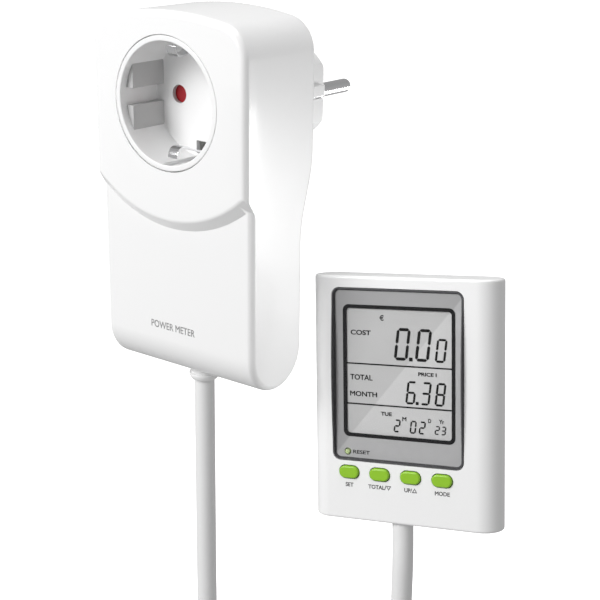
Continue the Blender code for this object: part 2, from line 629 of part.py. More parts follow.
def make_window_stack():
    """The bowed clear window, the silver panel behind it and the liquid crystal glass."""
    x, z, width, height = PANEL
    steps = 10
    curve = []
    for step in range(steps + 1):
        along = -1 + 2 * step / steps
        curve.append((-WINDOW_BOW * (1 - along * along), z + along * height / 2))
    side = curve + [(0.6, z + height / 2), (0.6, z - height / 2)]
    window = part("window_lens", prism(side, "X", x - width, x + width), "window_clear", "display")
    outline = rounded((x, z), (width, height), PANEL_CORNER)
    boolean(window, cutter(prism(outline, "Y", -10.0, 10.0), "display"), "INTERSECT")
    reset_x, reset_z = RESET_PLACE
    hole = cutter(rod((reset_x, -10, reset_z), (reset_x, 10, reset_z), 1.2, 16), "display")
    boolean(window, hole)
    panel = part("bezel_panel", prism(outline, "Y", 0.7, 1.1), "panel_silver", "display")
    lcd_x, lcd_z, lcd_width, lcd_height = LCD
    opening = rounded((lcd_x, lcd_z), (lcd_width, lcd_height), 2.0)
    boolean(panel, cutter(prism(opening, "Y", -5.0, 5.0), "display"))
    boolean(panel, hole)
    glass = rounded((lcd_x, lcd_z), (lcd_width + 1.0, lcd_height + 1.0), 0.4, 1)
    part("lcd_glass", prism(glass, "Y", 1.5, 3.6), "lcd_grey", "display")
    for name, side in (("top", 1), ("bottom", -1)):
        middle = lcd_z + side * (lcd_height / 2 - 1.6)
        strip = box((lcd_x - 17, lcd_x + 17), (3.9, 5.7), (middle - 1.0, middle + 1.0))
        part("zebra_strip_" + name, strip, "rubber_grey", "display")


def make_display_electronics():
    """The display board with its chip, key mat, reset switch and backup cell."""
    board = part("display_board", box((-23.6, 23.6), (6.0, 7.0), (-29.5, 34)), "board_green", "display")
    bevel(board, 0.2, 1)
    part("display_chip", box((-18, -8), (7.3, 8.9), (16, 26)), "black_plastic", "display")
    mat = box((-22.5, 19.5), (5.2, 5.7), (BUTTON_Z - 3.2, BUTTON_Z + 3.2))
    part("key_mat", mat, "rubber_grey", "display")
    x, z = RESET_PLACE
    part("reset_switch", box((x - 2.2, x + 2.2), (3.9, 5.7), (z - 1.6, z + 1.6)), "black_plastic", "display")
    cell = [(0.0, 3.2), (9.6, 3.2), (10.0, 2.8), (10.0, 0.3), (9.2, 0.0), (0.0, 0.0)]
    turned("backup_cell", cell, "steel", "display", (0.0, 7.9, -1.0), (0, 1, 0), 32)
    holder = part("cell_holder", rod((0, 7.3, -1), (0, 10.6, -1), 11.4, 32), "black_plastic", "display")
    boolean(holder, cutter(rod((0, 7.6, -1), (0, 20, -1), 10.3, 32), "display"))
    boolean(holder, cutter(box((-3, 3), (7.7, 20), (5, 20)), "display"))


def make_battery_door():
    """The sliding battery door in the rear shell, on two side tongues."""
    low_x, high_x, low_z, high_z = BATTERY_WELL
    tongue = box((low_x - 0.9, high_x + 0.9), DOOR_RAIL, (low_z + GAP, high_z - GAP))
    door = part("battery_door", tongue, "gloss_white", "display")
    plate = box((low_x + GAP, high_x - GAP), (DOOR_RAIL[0] + 0.2, DISPLAY_DEPTH - 0.2),
                (low_z + GAP, high_z - GAP))
    boolean(door, cutter(plate, "display"), "UNION")
    for step in range(3):
        z = low_z + 4.0 + 1.6 * step
        groove = box((-5, 5), (DISPLAY_DEPTH - 0.6, 20), (z, z + 0.7))
        boolean(door, cutter(groove, "display"))


def make_buttons():
    """Four pill-shaped keys with flanges behind the front wall, and the recessed reset key."""
    for name, x in BUTTONS:
        cap = prism(pill((x, BUTTON_Z), BUTTON_SIZE), "Y", -0.9, 3.4)
        button = part(name, cap, "button_green", "display", (x, 0.0, BUTTON_Z))
        bevel(button, 0.4, 2, 60.0)
        flange = rounded((x, BUTTON_Z), (BUTTON_SIZE[0] + 1.6, BUTTON_SIZE[1] + 1.6), 1.0, 2)
        boolean(button, cutter(prism(flange, "Y", 2.4, 3.2), "display"), "UNION")
        boolean(button, cutter(rod((x, 3.0, BUTTON_Z), (x, 4.3, BUTTON_Z), 1.4, 14), "display"), "UNION")
    x, z = RESET_PLACE
    key = [(0.0, -0.2), (0.7, -0.2), (0.85, -0.35), (0.85, -2.6), (1.9, -2.6), (1.9, -3.1), (0.0, -3.1)]
    turned("reset_button", key, "button_green", "display", (x, 0.0, z), (0, -1, 0), 16)


def make_display_screws():
    """Four screws from the rear of the display."""
    for number, (x, z) in enumerate(display_screw_places(), 1):
        turned("display_screw_%d" % number, screw_profile(2.1, 0.8, 0.95, 6.5), "steel", "display",
               (x, DISPLAY_DEPTH - 0.3, z), (0, 1, 0), 14)


def make_display_relief():
    """The cord's grommet inside the display's lower end."""
    x, depth = DISPLAY_EXIT
    bottom = -DISPLAY_HEIGHT / 2
    profile = [(0.0, 7.2), (3.4, 7.2), (3.6, 7.0), (3.6, 4.4), (4.1, 4.4), (4.1, 2.6), (3.6, 2.6),
               (3.6, 0.0), (0.0, 0.0)]
    place = (x, depth, bottom - 0.2)
    turned("display_strain_relief", profile, "gloss_white", "display", place, (0, 0, 1), 24)


def lead_route(start, direction, straight, end):
    """A lead that leaves its unit, turns down, hangs straight to a height and eases over to an end."""
    leave = Vector(start) + Vector(direction) * 4.0
    points = [Vector(start), leave]
    turn = 14.0
    slope = Vector((direction[0], direction[1], 0.0)) / -direction[2]
    for share in (0.25, 0.5, 0.75, 1.0):
        points.append(leave + slope * turn * (share - share * share / 2) - Vector((0.0, 0.0, turn * share)))
    hang = points[-1]
    for share in (0.25, 0.5, 0.75, 1.0):
        points.append(Vector((hang.x, hang.y, hang.z + (straight - hang.z) * share)))
    for step in range(1, 9):
        share = step / 8
        blend = share * share * (3 - 2 * share)
        points.append(Vector((hang.x + (end[0] - hang.x) * blend, hang.y + (end[1] - hang.y) * blend,
                              straight + (end[2] - straight) * share)))
    return points


def make_cord():
    """The cord as it hangs: a lead from each unit down to a tied coil between them."""
    above = COIL_CENTRE[2] + COIL_CLEAR
    module_start = (CORD_X, END_DEPTH - PLUG_FACE, BOTTOM - PLUG_Z - 3.6)
    place = frames["display"].matrix_world
    exit_x, exit_depth = DISPLAY_EXIT
    display_start = place @ (Vector((exit_x, exit_depth, -DISPLAY_HEIGHT / 2 - 0.5)) * MM) / MM
    down = place.to_3x3() @ Vector((0.0, 0.0, -1.0))
    leads = (("cord_module_lead", module_start, Vector((0, 0, -1)), MODULE_LEAD_STRAIGHT, -1),
             ("cord_display_lead", display_start, down, DISPLAY_LEAD_STRAIGHT, 1))
    for name, start, way, straight, side in leads:
        end = (COIL_CENTRE[0] + side * COIL_OUTER, COIL_CENTRE[1] + side * COIL_LAYERS / 2, above)
        tube(name, lead_route(start, way, straight, end), CORD / 2, 3, "cord_white", "world")
    outer = COIL_OUTER + CORD / 2
    inner = COIL_INNER - CORD / 2
    half = (COIL_LAYERS + CORD) / 2
    soft = 3.0
    section = [(inner, half - soft), (inner + soft, half), (outer - soft, half), (outer, half - soft),
               (outer, soft - half), (outer - soft, -half), (inner + soft, -half), (inner, soft - half)]
    turned("cord_coil", section, "cord_white", "world", COIL_CENTRE, (0, 1, 0), 48)
    middle = COIL_CENTRE[2] - (outer + inner) / 2
    reach = (outer - inner) / 2
    band = rounded((COIL_CENTRE[1], middle), (2 * half + 3.6, 2 * reach + 3.6), 3.0, 3)
    tie = part("cord_tie", prism(band, "X", COIL_CENTRE[0] - 4.0, COIL_CENTRE[0] + 4.0), "tie_black", "world")
    hole = rounded((COIL_CENTRE[1], middle), (2 * half + 1.2, 2 * reach + 1.2), 2.0, 3)
    boolean(tie, cutter(prism(hole, "X", COIL_CENTRE[0] - 20.0, COIL_CENTRE[0] + 20.0), "world"))


def main():
    start_scene()
    make_module_housing()
    make_back_cover()
    make_module_screws()
    make_socket_insert()
    make_earth_clips()
    make_contact_carrier()
    make_shutter()
    make_contacts()
    make_plug()
    make_meter_electronics()
    make_module_relief()
    make_display_shells()
    make_window_stack()
    make_display_electronics()
    make_battery_door()
    make_buttons()
    make_display_screws()
    make_display_relief()
    make_cord()


main()
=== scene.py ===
"""Visual model of the plug-in power meter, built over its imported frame.

Lengths are in millimetres and become metres where a mesh is made. The module is drawn as (x, depth
behind its front face, z above the socket axis) and the display as (x, depth behind its front face,
z above its centre), as in the frame's own source.
"""
import json
import math

import bmesh
import bpy
from mathutils import Matrix, Vector


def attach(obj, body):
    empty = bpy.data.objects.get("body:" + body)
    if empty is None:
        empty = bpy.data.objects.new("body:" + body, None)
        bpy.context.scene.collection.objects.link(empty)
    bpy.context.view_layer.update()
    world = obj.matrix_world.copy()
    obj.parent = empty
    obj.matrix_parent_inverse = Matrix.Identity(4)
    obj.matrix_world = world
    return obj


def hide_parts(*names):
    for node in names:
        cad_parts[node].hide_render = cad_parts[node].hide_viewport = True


MM = 0.001
GAP = 0.3  # clearance between pieces
FREE = 0.02  # the least distance between faces that would otherwise coincide

# The module's dimensions, as in the frame
HALF_WIDTH = 31.95
MIDDLE = 0.75
TOP = 28.8
BOTTOM = -92.0
UPPER_BACK = 34.8
LOWER_BACK = 29.0
STEP_DEPTH = 3.0
END_RADIUS = (LOWER_BACK - STEP_DEPTH) / 2
END_DEPTH = (LOWER_BACK + STEP_DEPTH) / 2
END_CENTRE = BOTTOM + END_RADIUS
ARCH_RADIUS = 125.0
CORNER_RADIUS = 11.0
BIB_CENTRE = 8.3
BIB_RADIUS = 45.5
BIB_SLOPE = 1.15
BEND_TOP = -15.0
BEND_BOTTOM = -45.0
WALL = 2.2
COVER_BOTTOM = -74.0
FAR = 130.0  # past the housing's ends
WIDE = HALF_WIDTH + 20.0  # past its sides
THROUGH = (-20.0, 80.0)  # past its front and back
FRONT_SOFT = 2.2  # roundness of the front's outer edges
FLANK_SOFT = 1.8  # roundness where the raised part drops to the lower front
RECESS_RADIUS = 19.45
RING_RADIUS = 21.2
RING_FRONT = 0.1
RECESS_FLOOR = 17.1
FLOOR_BACK = 18.6
GUIDE_FACE = 16.3
GUIDE_START = 2.8
GUIDE_SPAN = (2.75, 11.2)
PIN_X = 9.5
HOLE_RADIUS = 3.0
PLUG_Z = -3.0
PLUG_FACE = 64.5
PLUG_RADIUS = 16.5
PLUG_FLAT = 13.2
RIB_RISE = 1.0
PIN_RADIUS = 2.4
PIN_LENGTH = 19.0
EARTH_WIDTH = 4.0
MODULE_EXIT = (1.0, END_DEPTH)  # x, depth
COLLAR_RADIUS = 4.5
MODULE_SCREWS = ((-23.0, 17.5), (24.5, 17.5), (-23.5, -66.0), (25.0, -66.0))

# The display's dimensions. The panel, the screen and the keys differ a little from the frame's
DISPLAY_WIDTH = 64.2
DISPLAY_HEIGHT = 79.8
DISPLAY_DEPTH = 13.5
DISPLAY_SEAM = 11.0
DISPLAY_SOFT = 0.9
PANEL = (-1.3, 7.9, 44.6, 56.0)  # middle x, middle z, width, height
PANEL_CORNER = 2.4
WINDOW_BOW = 1.4
LCD = (-1.0, 9.1, 38.4, 43.1)  # middle x, middle z, width, height
BUTTON_Z = -24.1
BUTTON_PITCH = 10.7
BUTTON_MIDDLE = -2.0
BUTTON_SIZE = (6.8, 4.0)
CAPTION_Z = -28.9
RESET_PLACE = (-18.85, -17.5)
DISPLAY_SCREWS = (26.6, 33.6)
DISPLAY_EXIT = (-1.5, 5.2)  # x, depth
GROMMET_RADIUS = 3.6
BATTERY_WELL = (-12.0, 12.0, -14.0, 12.0)  # x from, x to, z from, z to
DOOR_RAIL = (12.0, 12.8)
DOOR_TRAVEL = 12.0

# Depths behind the display's front face, from the window's flat back to the screen's glass
WINDOW_BACK = 0.5
RIM_DEPTHS = (0.60, 0.73)
BORDER_DEPTHS = (0.62, 1.08)
PANEL_DEPTHS = (0.75, 1.1)
MARK_DEPTHS = (1.04, 1.08)
GLASS_DEPTHS = (1.12, 3.6)

# A painted glare: the screen's lighter half lies beyond a slanting line, and this is the way across it, as
# (x, z)
PAINTED_GLARE_ACROSS = (0.769, -0.639)
PAINTED_GLARE_FADE = 0.25

# The cord
CORD = 6.9
COIL_CENTRE = (38.0, -43.3, -252.0)
COIL_OUTER = 46.0
COIL_CROSSING = 28.1
COIL_LAYERS = 7.1
COIL_CLEAR = 27.5
COIL_TURNS = 5.5
COIL_STEPS = 40
MODULE_LEAD_STRAIGHT = -183.0
DISPLAY_LEAD_STRAIGHT = -165.0
LEAD_TURN = 14.0
GRIP = 0.02  # space between the cord and the collars round it

# The view and the light, in metres, degrees and watts
CAMERA_LENS = 84.0
CAMERA_PLACE = (0.29782, -0.38051, 0.07937)
CAMERA_TURN = (72.0756, -0.6036, 37.8563)
FLOOR_Z = -0.32
FLOOR_REACH = 9.0
LIT_CENTRE = (0.03, -0.04, -0.04)
WORLD_LIGHT = 0.46
WORLD_SEEN = 1.35
SIDE_LIGHT_SPREAD = 52.0

WORLD_PLACE = Matrix.Identity(4)
MODULE_PLACE = Matrix.Translation(Vector((0.0, -PLUG_FACE, -PLUG_Z)) * MM)
DISPLAY_PLACE = (
    Matrix.Translation(Vector((70.9, -33.7, -88.1)) * MM)
    @ Matrix.Rotation(math.radians(10.75), 4, "Z")
    @ Matrix.Rotation(math.radians(-9.9), 4, "X")
    @ Matrix.Rotation(math.radians(-6.5), 4, "Y"))

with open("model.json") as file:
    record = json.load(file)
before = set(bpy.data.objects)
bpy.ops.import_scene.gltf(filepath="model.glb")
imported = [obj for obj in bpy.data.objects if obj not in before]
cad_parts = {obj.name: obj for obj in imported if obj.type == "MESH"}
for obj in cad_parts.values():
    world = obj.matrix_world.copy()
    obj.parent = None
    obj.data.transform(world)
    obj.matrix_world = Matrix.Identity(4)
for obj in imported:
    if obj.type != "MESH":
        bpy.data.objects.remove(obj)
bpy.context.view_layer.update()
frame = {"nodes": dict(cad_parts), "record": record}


# ---------------------------------------------------------------- materials

def set_inputs(made, values):
    """Set the values of some of a node's inputs."""
    for socket, value in values.items():
        made.inputs[socket].default_value = value


def node(tree, kind, inputs=None, **fields):
    """Add a shader node, and set its fields and some of its inputs."""
    made = tree.nodes.new(kind)
    for name, value in fields.items():
        setattr(made, name, value)
    set_inputs(made, inputs or {})
    return made


def wire(start, output, end, socket):
    """Link one node's output to another node's input."""
    start.id_data.links.new(start.outputs[output], end.inputs[socket])


def grey(level):
    """A neutral colour."""
    return (level, level, level)


def finish(name, colour, roughness, metallic=0.0, coat=0.0, grain=900.0, rough_spread=0.05,
           bump=0.03, bump_depth=0.00005, tint=0.02, stretch=(1.0, 1.0, 1.0), **sockets):
    """A procedural finish: fine noise varies the colour, the roughness and the surface height."""
    made = bpy.data.materials.new(name)
    made.use_nodes = True
    tree = made.node_tree
    shader = tree.nodes["Principled BSDF"]
    set_inputs(shader, {"Metallic": metallic, "Coat Weight": coat, "Coat Roughness": 0.08, **sockets})
    place = node(tree, "ShaderNodeTexCoord")
    mapping = node(tree, "ShaderNodeMapping", {"Scale": stretch})
    noise = node(tree, "ShaderNodeTexNoise", {"Scale": grain, "Detail": 3.0})
    wire(place, "Object", mapping, "Vector")
    wire(mapping, "Vector", noise, "Vector")
    rough = node(tree, "ShaderNodeMapRange", {"To Min": max(roughness - rough_spread, 0.0),
                                              "To Max": roughness + rough_spread})
    wire(noise, "Fac", rough, "Value")
    wire(rough, "Result", shader, "Roughness")
    cloud = node(tree, "ShaderNodeTexNoise", {"Scale": grain / 12.0})
    wire(place, "Object", cloud, "Vector")
    darker = (*(c * (1 - tint) for c in colour), 1.0)
    lighter = (*(min(c * (1 + tint), 1.0) for c in colour), 1.0)
    mix = node(tree, "ShaderNodeMix", {"A": darker, "B": lighter}, data_type="RGBA")
    wire(cloud, "Fac", mix, "Factor")
    wire(mix, "Result", shader, "Base Color")
    height = node(tree, "ShaderNodeBump", {"Strength": bump, "Distance": bump_depth})
    wire(noise, "Fac", height, "Height")
    wire(height, "Normal", shader, "Normal")
    return made


def window_finish():
    """Clear acrylic with an anti-glare coat: see-through face on, and a mirror towards grazing angles."""
    made = finish("window_clear", grey(1.0), 0.03, metallic=1.0, grain=60.0, rough_spread=0.01,
                  bump=0.0, tint=0.0)
    tree = made.node_tree
    fresnel = node(tree, "ShaderNodeFresnel", {"IOR": 1.25})
    wire(fresnel, "Fac", tree.nodes["Principled BSDF"], "Alpha")
    return made


def painted_glare_finish(name, dim, light, roughness, edge, **settings):
    """A finish with a painted glare: its colour is lighter beyond a slanting line, where the way across it
    times (x, z) is -edge.
    """
    made = finish(name, light, roughness, **settings)
    tree = made.node_tree
    place = node(tree, "ShaderNodeTexCoord")
    split = node(tree, "ShaderNodeSeparateXYZ")
    first = node(tree, "ShaderNodeMath", {1: PAINTED_GLARE_ACROSS[0] / MM}, operation="MULTIPLY")
    total = node(tree, "ShaderNodeMath", {1: PAINTED_GLARE_ACROSS[1] / MM}, operation="MULTIPLY_ADD")
    fade = node(tree, "ShaderNodeMapRange", {"From Min": -edge - PAINTED_GLARE_FADE, "From Max": -edge + PAINTED_GLARE_FADE})
    mix = node(tree, "ShaderNodeMix", {"A": (*dim, 1.0)}, data_type="RGBA")
    wire(place, "Object", split, "Vector")
    wire(split, "X", first, 0)
    wire(split, "Z", total, 0)
    wire(first, "Value", total, 2)
    wire(total, "Value", fade, "Value")
    wire(fade, "Result", mix, "Factor")
    shader = tree.nodes["Principled BSDF"]
    tree.links.new(shader.inputs["Base Color"].links[0].from_socket, mix.inputs["B"])
    wire(mix, "Result", shader, "Base Color")
    return made


DULL = {"Specular IOR Level": 0.1}
FINISHES = {name: finish(name, colour, roughness, **settings) for name, colour, roughness, settings in (
    ("gloss_white", grey(0.88), 0.30, dict(coat=0.25, tint=0.004)),
    ("insert_white", grey(0.87), 0.34, dict(coat=0.15, tint=0.004)),
    ("inner_plastic", (0.62, 0.62, 0.60), 0.55, {}),
    ("shutter_red", (0.48, 0.02, 0.03), 0.42, dict(coat=0.2)),
    ("nickel", (0.80, 0.80, 0.81), 0.16, dict(metallic=1.0, grain=700.0, stretch=(1.0, 0.1, 1.0), bump=0.05)),
    ("bronze", (0.72, 0.50, 0.26), 0.32, dict(metallic=1.0)),
    ("steel", (0.55, 0.55, 0.57), 0.32, dict(metallic=1.0)),
    ("board_green", (0.05, 0.28, 0.12), 0.45, dict(tint=0.15)),
    ("black_plastic", grey(0.02), 0.42, {}),
    ("capacitor_yellow", (0.72, 0.58, 0.12), 0.40, {}),
    # Painted shade: a darker copy of insert_white for the socket's parts that lie in shade
    ("insert_shade", grey(0.50), 0.45, dict(tint=0.01)),
    ("lcd_ink", grey(0.004), 0.6, dict(bump=0.0, **DULL)),
    ("print_black", (0.008, 0.008, 0.009), 0.5, DULL),
    ("print_grey", grey(0.30), 0.5, {}),
    ("label_grey", grey(0.10), 0.5, DULL),
    # Dark grey for the rim line round the panel, and painted shade on the window's edge
    ("rim_line_and_edge_shade", (0.10, 0.10, 0.105), 0.5, DULL),
    ("reset_green", (0.55, 0.68, 0.32), 0.45, {}),
    ("button_green", (0.27, 0.54, 0.018), 0.34, dict(coat=0.1, grain=1500.0)),
    ("rubber_grey", (0.30, 0.30, 0.31), 0.8, {}),
    ("cord_white", grey(0.82), 0.38, dict(coat=0.1, grain=500.0, tint=0.01)),
    ("tie_black", grey(0.03), 0.85, dict(grain=2500.0, bump=0.5, bump_depth=0.0002)),
)}
FINISHES["window_clear"] = window_finish()
# Painted glare: the silver panel and the screen are lighter beyond a slanting line, a reflection painted into
# their colour
FINISHES["panel_silver"] = painted_glare_finish("panel_silver", (0.40, 0.40, 0.405), (0.52, 0.52, 0.525), 0.42, 5.94,
                                    metallic=0.2, grain=2600.0, bump=0.05, tint=0.05)
FINISHES["lcd_grey"] = painted_glare_finish("lcd_grey", grey(0.55), grey(0.65), 0.5, 6.2, grain=3000.0, tint=0.01)


# ------------------------------------------------------------------ shapes

def box(x, y, z):
    """A box from its ranges along x, y and z."""
    bm = bmesh.new()
    middle = Vector(((x[0] + x[1]) / 2, (y[0] + y[1]) / 2, (z[0] + z[1]) / 2))
    size = Vector((x[1] - x[0], y[1] - y[0], z[1] - z[0], 1.0))
    bmesh.ops.create_cube(bm, size=1.0, matrix=Matrix.Translation(middle) @ Matrix.Diagonal(size))
    return bm


def rod(start, end, radius, segments, end_radius=None):
    """A round bar, or a cone where the radius at its end differs."""
    bm = bmesh.new()
    start = Vector(start)
    along = Vector(end) - start
    turn = Vector((0.0, 0.0, 1.0)).rotation_difference(along).to_matrix().to_4x4()
    bmesh.ops.create_cone(
        bm, cap_ends=True, segments=segments, radius1=radius,
        radius2=radius if end_radius is None else end_radius,
        depth=along.length, matrix=Matrix.Translation(start + along / 2) @ turn)
    return bm


def bar(place, low, high, radius, segments, end_radius=None):
    """A round bar or cone along the depth, at a place (x, z)."""
    x, z = place
    return rod((x, low, z), (x, high, z), radius, segments, end_radius)


def prism(outline, axis, low, high):
    """A flat outline pushed along an axis: (y, z) points along X, (x, z) along Y, (x, y) along Z."""
    place = {
        "X": lambda a, b, c: (c, a, b),
        "Y": lambda a, b, c: (a, c, b),
        "Z": lambda a, b, c: (a, b, c),
    }[axis]
    bm = bmesh.new()
    face = bm.faces.new([bm.verts.new(place(a, b, low)) for a, b in outline])
    grown = bmesh.ops.extrude_face_region(bm, geom=[face])["geom"]
    moved = [item for item in grown if isinstance(item, bmesh.types.BMVert)]
    bmesh.ops.translate(bm, verts=moved, vec=place(0.0, 0.0, high - low))
    bmesh.ops.recalc_face_normals(bm, faces=bm.faces)
    return bm


def skin(loops, ring=True):
    """Faces between loops of points: a ring, its last loop joined to its first, or a capped block."""
    bm = bmesh.new()
    rows = [[bm.verts.new(point) for point in loop] for loop in loops]
    count = len(rows[0])
    for first, second in zip(rows, rows[1:] + rows[:1] if ring else rows[1:]):
        for step in range(count):
            follow = (step + 1) % count
            bm.faces.new((first[step], first[follow], second[follow], second[step]))
    if not ring:
        bm.faces.new(rows[0])
        bm.faces.new(rows[-1])
    bmesh.ops.recalc_face_normals(bm, faces=bm.faces)
    return bm


def ring_prism(outer, inner, low, high):
    """A flat frame between two outlines with the same number of (x, z) points."""
    rows = ((outer, low), (outer, high), (inner, high), (inner, low))
    return skin([[(x, depth, z) for x, z in outline] for outline, depth in rows])


def close_set(outline, longest):
    """The same closed outline with points added along its long edges."""
    points = []
    for start, end in zip(outline, outline[1:] + outline[:1]):
        count = max(1, math.ceil(math.dist(start, end) / longest))
        for step in range(count):
            share = step / count
            points.append((start[0] + (end[0] - start[0]) * share, start[1] + (end[1] - start[1]) * share))
    return points


def lathe(profile, steps=96):
    """A profile of (radius, height) turned about Z. It starts and ends on the axis, or is a loop."""
    bm = bmesh.new()
    rows = []
    for radius, height in profile:
        if radius < 1e-6:
            rows.append([bm.verts.new((0.0, 0.0, height))])
            continue
        turn = [2 * math.pi * step / steps for step in range(steps)]
        rows.append([bm.verts.new((radius * math.cos(t), radius * math.sin(t), height)) for t in turn])
    if profile[0][0] > 1e-6:
        rows.append(rows[0])
    for upper, lower in zip(rows, rows[1:]):
        for step in range(steps):
            follow = (step + 1) % steps
            corners = [upper[step % len(upper)], upper[follow % len(upper)],
                       lower[follow % len(lower)], lower[step % len(lower)]]
            unique = [corner for index, corner in enumerate(corners) if corner not in corners[:index]]
            bm.faces.new(unique)
    bmesh.ops.recalc_face_normals(bm, faces=bm.faces)
    return bm


def aimed(bm, place, axis):
    """Turn a lathed shape from +Z to an axis and move it to its place."""
    turn = Vector((0.0, 0.0, 1.0)).rotation_difference(Vector(axis)).to_matrix()
    bmesh.ops.rotate(bm, verts=bm.verts, matrix=turn)
    bmesh.ops.translate(bm, verts=bm.verts, vec=place)
    return bm


def arc(centre, radius, start, end, steps):
    """Points on an arc, both ends included, with angles in degrees."""
    points = []
    for step in range(steps + 1):
        angle = math.radians(start + (end - start) * step / steps)
        points.append((centre[0] + radius * math.cos(angle), centre[1] + radius * math.sin(angle)))
    return points


def rounded(centre, size, radius, steps=10):
    """A rectangle with round corners."""
    reach_x = size[0] / 2 - radius
    reach_z = size[1] / 2 - radius
    points = []
    for side_x, side_z, start in ((1, 1, 0), (-1, 1, 90), (-1, -1, 180), (1, -1, 270)):
        corner = (centre[0] + side_x * reach_x, centre[1] + side_z * reach_z)
        points += arc(corner, radius, start, start + 90, steps)
    return points


def pill(centre, size, steps=20):
    """A rectangle with fully round ends."""
    radius = size[1] / 2
    reach = size[0] / 2 - radius
    points = arc((centre[0] + reach, centre[1]), radius, -90, 90, steps)
    return points + arc((centre[0] - reach, centre[1]), radius, 90, 270, steps)


def show(obj):
    """Put an object in the scene."""
    bpy.context.scene.collection.objects.link(obj)


def solid(name, bm, place=MODULE_PLACE):
    """An object from a bmesh in millimetres, set in the module's, the display's or the world's frame."""
    bmesh.ops.scale(bm, verts=bm.verts, vec=(MM, MM, MM))
    mesh = bpy.data.meshes.new(name)
    bm.to_mesh(mesh)
    bm.free()
    obj = bpy.data.objects.new(name, mesh)
    obj.matrix_world = place
    show(obj)
    return obj


def settle(obj):
    """Replace the object's mesh by what its modifiers make of it."""
    bpy.context.view_layer.update()
    graph = bpy.context.evaluated_depsgraph_get()
    mesh = bpy.data.meshes.new_from_object(obj.evaluated_get(graph))
    obj.modifiers.clear()
    old = obj.data
    obj.data = mesh
    bpy.data.meshes.remove(old)


def carve(obj, bm, operation="DIFFERENCE"):
    """Cut a bmesh from an object, join it on, or keep what they share."""
    combine(obj, solid("tool", bm, obj.matrix_world.copy()), operation)


def combine(obj, tool, operation):
    """Apply one Boolean and remove its tool."""
    modifier = obj.modifiers.new("boolean", "BOOLEAN")
    modifier.operation = operation
    modifier.solver = "EXACT"
    modifier.object = tool
    settle(obj)
    mesh = tool.data
    bpy.data.objects.remove(tool)
    bpy.data.meshes.remove(mesh)


def soften(obj, width, segments=3, angle=40.0):
    """Round the edges sharper than an angle."""
    modifier = obj.modifiers.new("bevel", "BEVEL")
    modifier.width = width * MM
    modifier.segments = segments
    modifier.limit_method = "ANGLE"
    modifier.angle_limit = math.radians(angle)
    modifier.miter_outer = "MITER_ARC"
    settle(obj)


def dress(obj, look, body="meter", nodes=(), angle=32.0, weighted=True):
    """Smooth an object, give it its finish and body, and hide the frame nodes it stands for."""
    obj.data.shade_smooth()
    obj.data.set_sharp_from_angle(angle=math.radians(angle))
    if weighted:
        modifier = obj.modifiers.new("normals", "WEIGHTED_NORMAL")
        modifier.keep_sharp = True
        modifier.weight = 60  # above 50, larger faces weigh more
        settle(obj)
    obj.data.materials.clear()
    obj.data.materials.append(FINISHES[look])
    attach(obj, body)
    if nodes:
        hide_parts(*nodes)
    return obj


# ------------------------------------------------------------ camera, light

def add_camera():
    """The camera, at the viewing angle of the product view: from the right and above."""
    data = bpy.data.cameras.new("camera")
    data.lens = CAMERA_LENS
    data.sensor_width = 36.0
    data.clip_start = 0.01
    camera = bpy.data.objects.new("camera", data)
    camera.location = CAMERA_PLACE
    camera.rotation_euler = [math.radians(angle) for angle in CAMERA_TURN]
    show(camera)
    bpy.context.scene.camera = camera


def add_light(name, place, target, width, power):
    """A square area light at a place, facing a target."""
    data = bpy.data.lights.new(name, "AREA")
    data.shape = "SQUARE"
    data.size = width
    data.energy = power
    light = bpy.data.objects.new(name, data)
    light.location = place
    way = Vector(target) - Vector(place)
    light.rotation_euler = way.to_track_quat("-Z", "Y").to_euler()
    show(light)
    return light


def add_stage():
    """A pale floor well below the hanging coil, a soft world, and soft lights in front and above.

    The floor gives off its own light but lights nothing, and the camera sees the world brighter than
    the pieces do, so the ground is evenly white from every side.
    """
    scene = bpy.context.scene
    scene.view_settings.view_transform = "Standard"
    bm = bmesh.new()
    bmesh.ops.create_grid(bm, x_segments=1, y_segments=1, size=FLOOR_REACH / MM)
    floor = solid("floor", bm, Matrix.Translation((0.0, 0.0, FLOOR_Z)))
    pale = finish("floor_pale", grey(0.9), 0.9, grain=20.0, bump=0.0, tint=0.0)
    set_inputs(pale.node_tree.nodes["Principled BSDF"],
               {"Emission Color": (*grey(1.0), 1.0), "Emission Strength": 1.0})
    floor.data.materials.append(pale)
    floor.visible_diffuse = False
    floor.visible_glossy = False
    world = bpy.data.worlds.new("world")
    world.use_nodes = True
    tree = world.node_tree
    place = node(tree, "ShaderNodeTexCoord")
    split = node(tree, "ShaderNodeSeparateXYZ")
    ramp = node(tree, "ShaderNodeValToRGB")
    for stop, (height, level) in zip(ramp.color_ramp.elements, ((0.30, 1.0), (0.75, 0.78))):
        stop.position = height
        stop.color = (*grey(level), 1.0)
    shift = node(tree, "ShaderNodeMapRange", {"From Min": -1.0})
    wire(place, "Generated", split, "Vector")
    wire(split, "Z", shift, "Value")
    wire(shift, "Result", ramp, "Fac")
    wire(ramp, "Color", tree.nodes["Background"], "Color")
    path = node(tree, "ShaderNodeLightPath")
    strength = node(tree, "ShaderNodeMapRange", {"To Min": WORLD_LIGHT, "To Max": WORLD_SEEN})
    wire(path, "Is Camera Ray", strength, "Value")
    wire(strength, "Result", tree.nodes["Background"], "Strength")
    scene.world = world
    add_light("key", (-0.30, -0.78, 0.40), LIT_CENTRE, 0.5, 7.3)
    add_light("top", (0.0, 0.05, 0.7), LIT_CENTRE, 0.5, 3.2)


def add_linked_light(name, place, target, width, power, lit):
    """A narrow unseen light that reaches some pieces alone."""
    light = add_light(name, place, target, width, power)
    light.data.spread = math.radians(SIDE_LIGHT_SPREAD)
    light.visible_camera = False
    reached = bpy.data.collections.new(name + "_receivers")
    for obj in lit:
        reached.objects.link(obj)
    light.light_linking.receiver_collection = reached
    light.light_linking.blocker_collection = reached


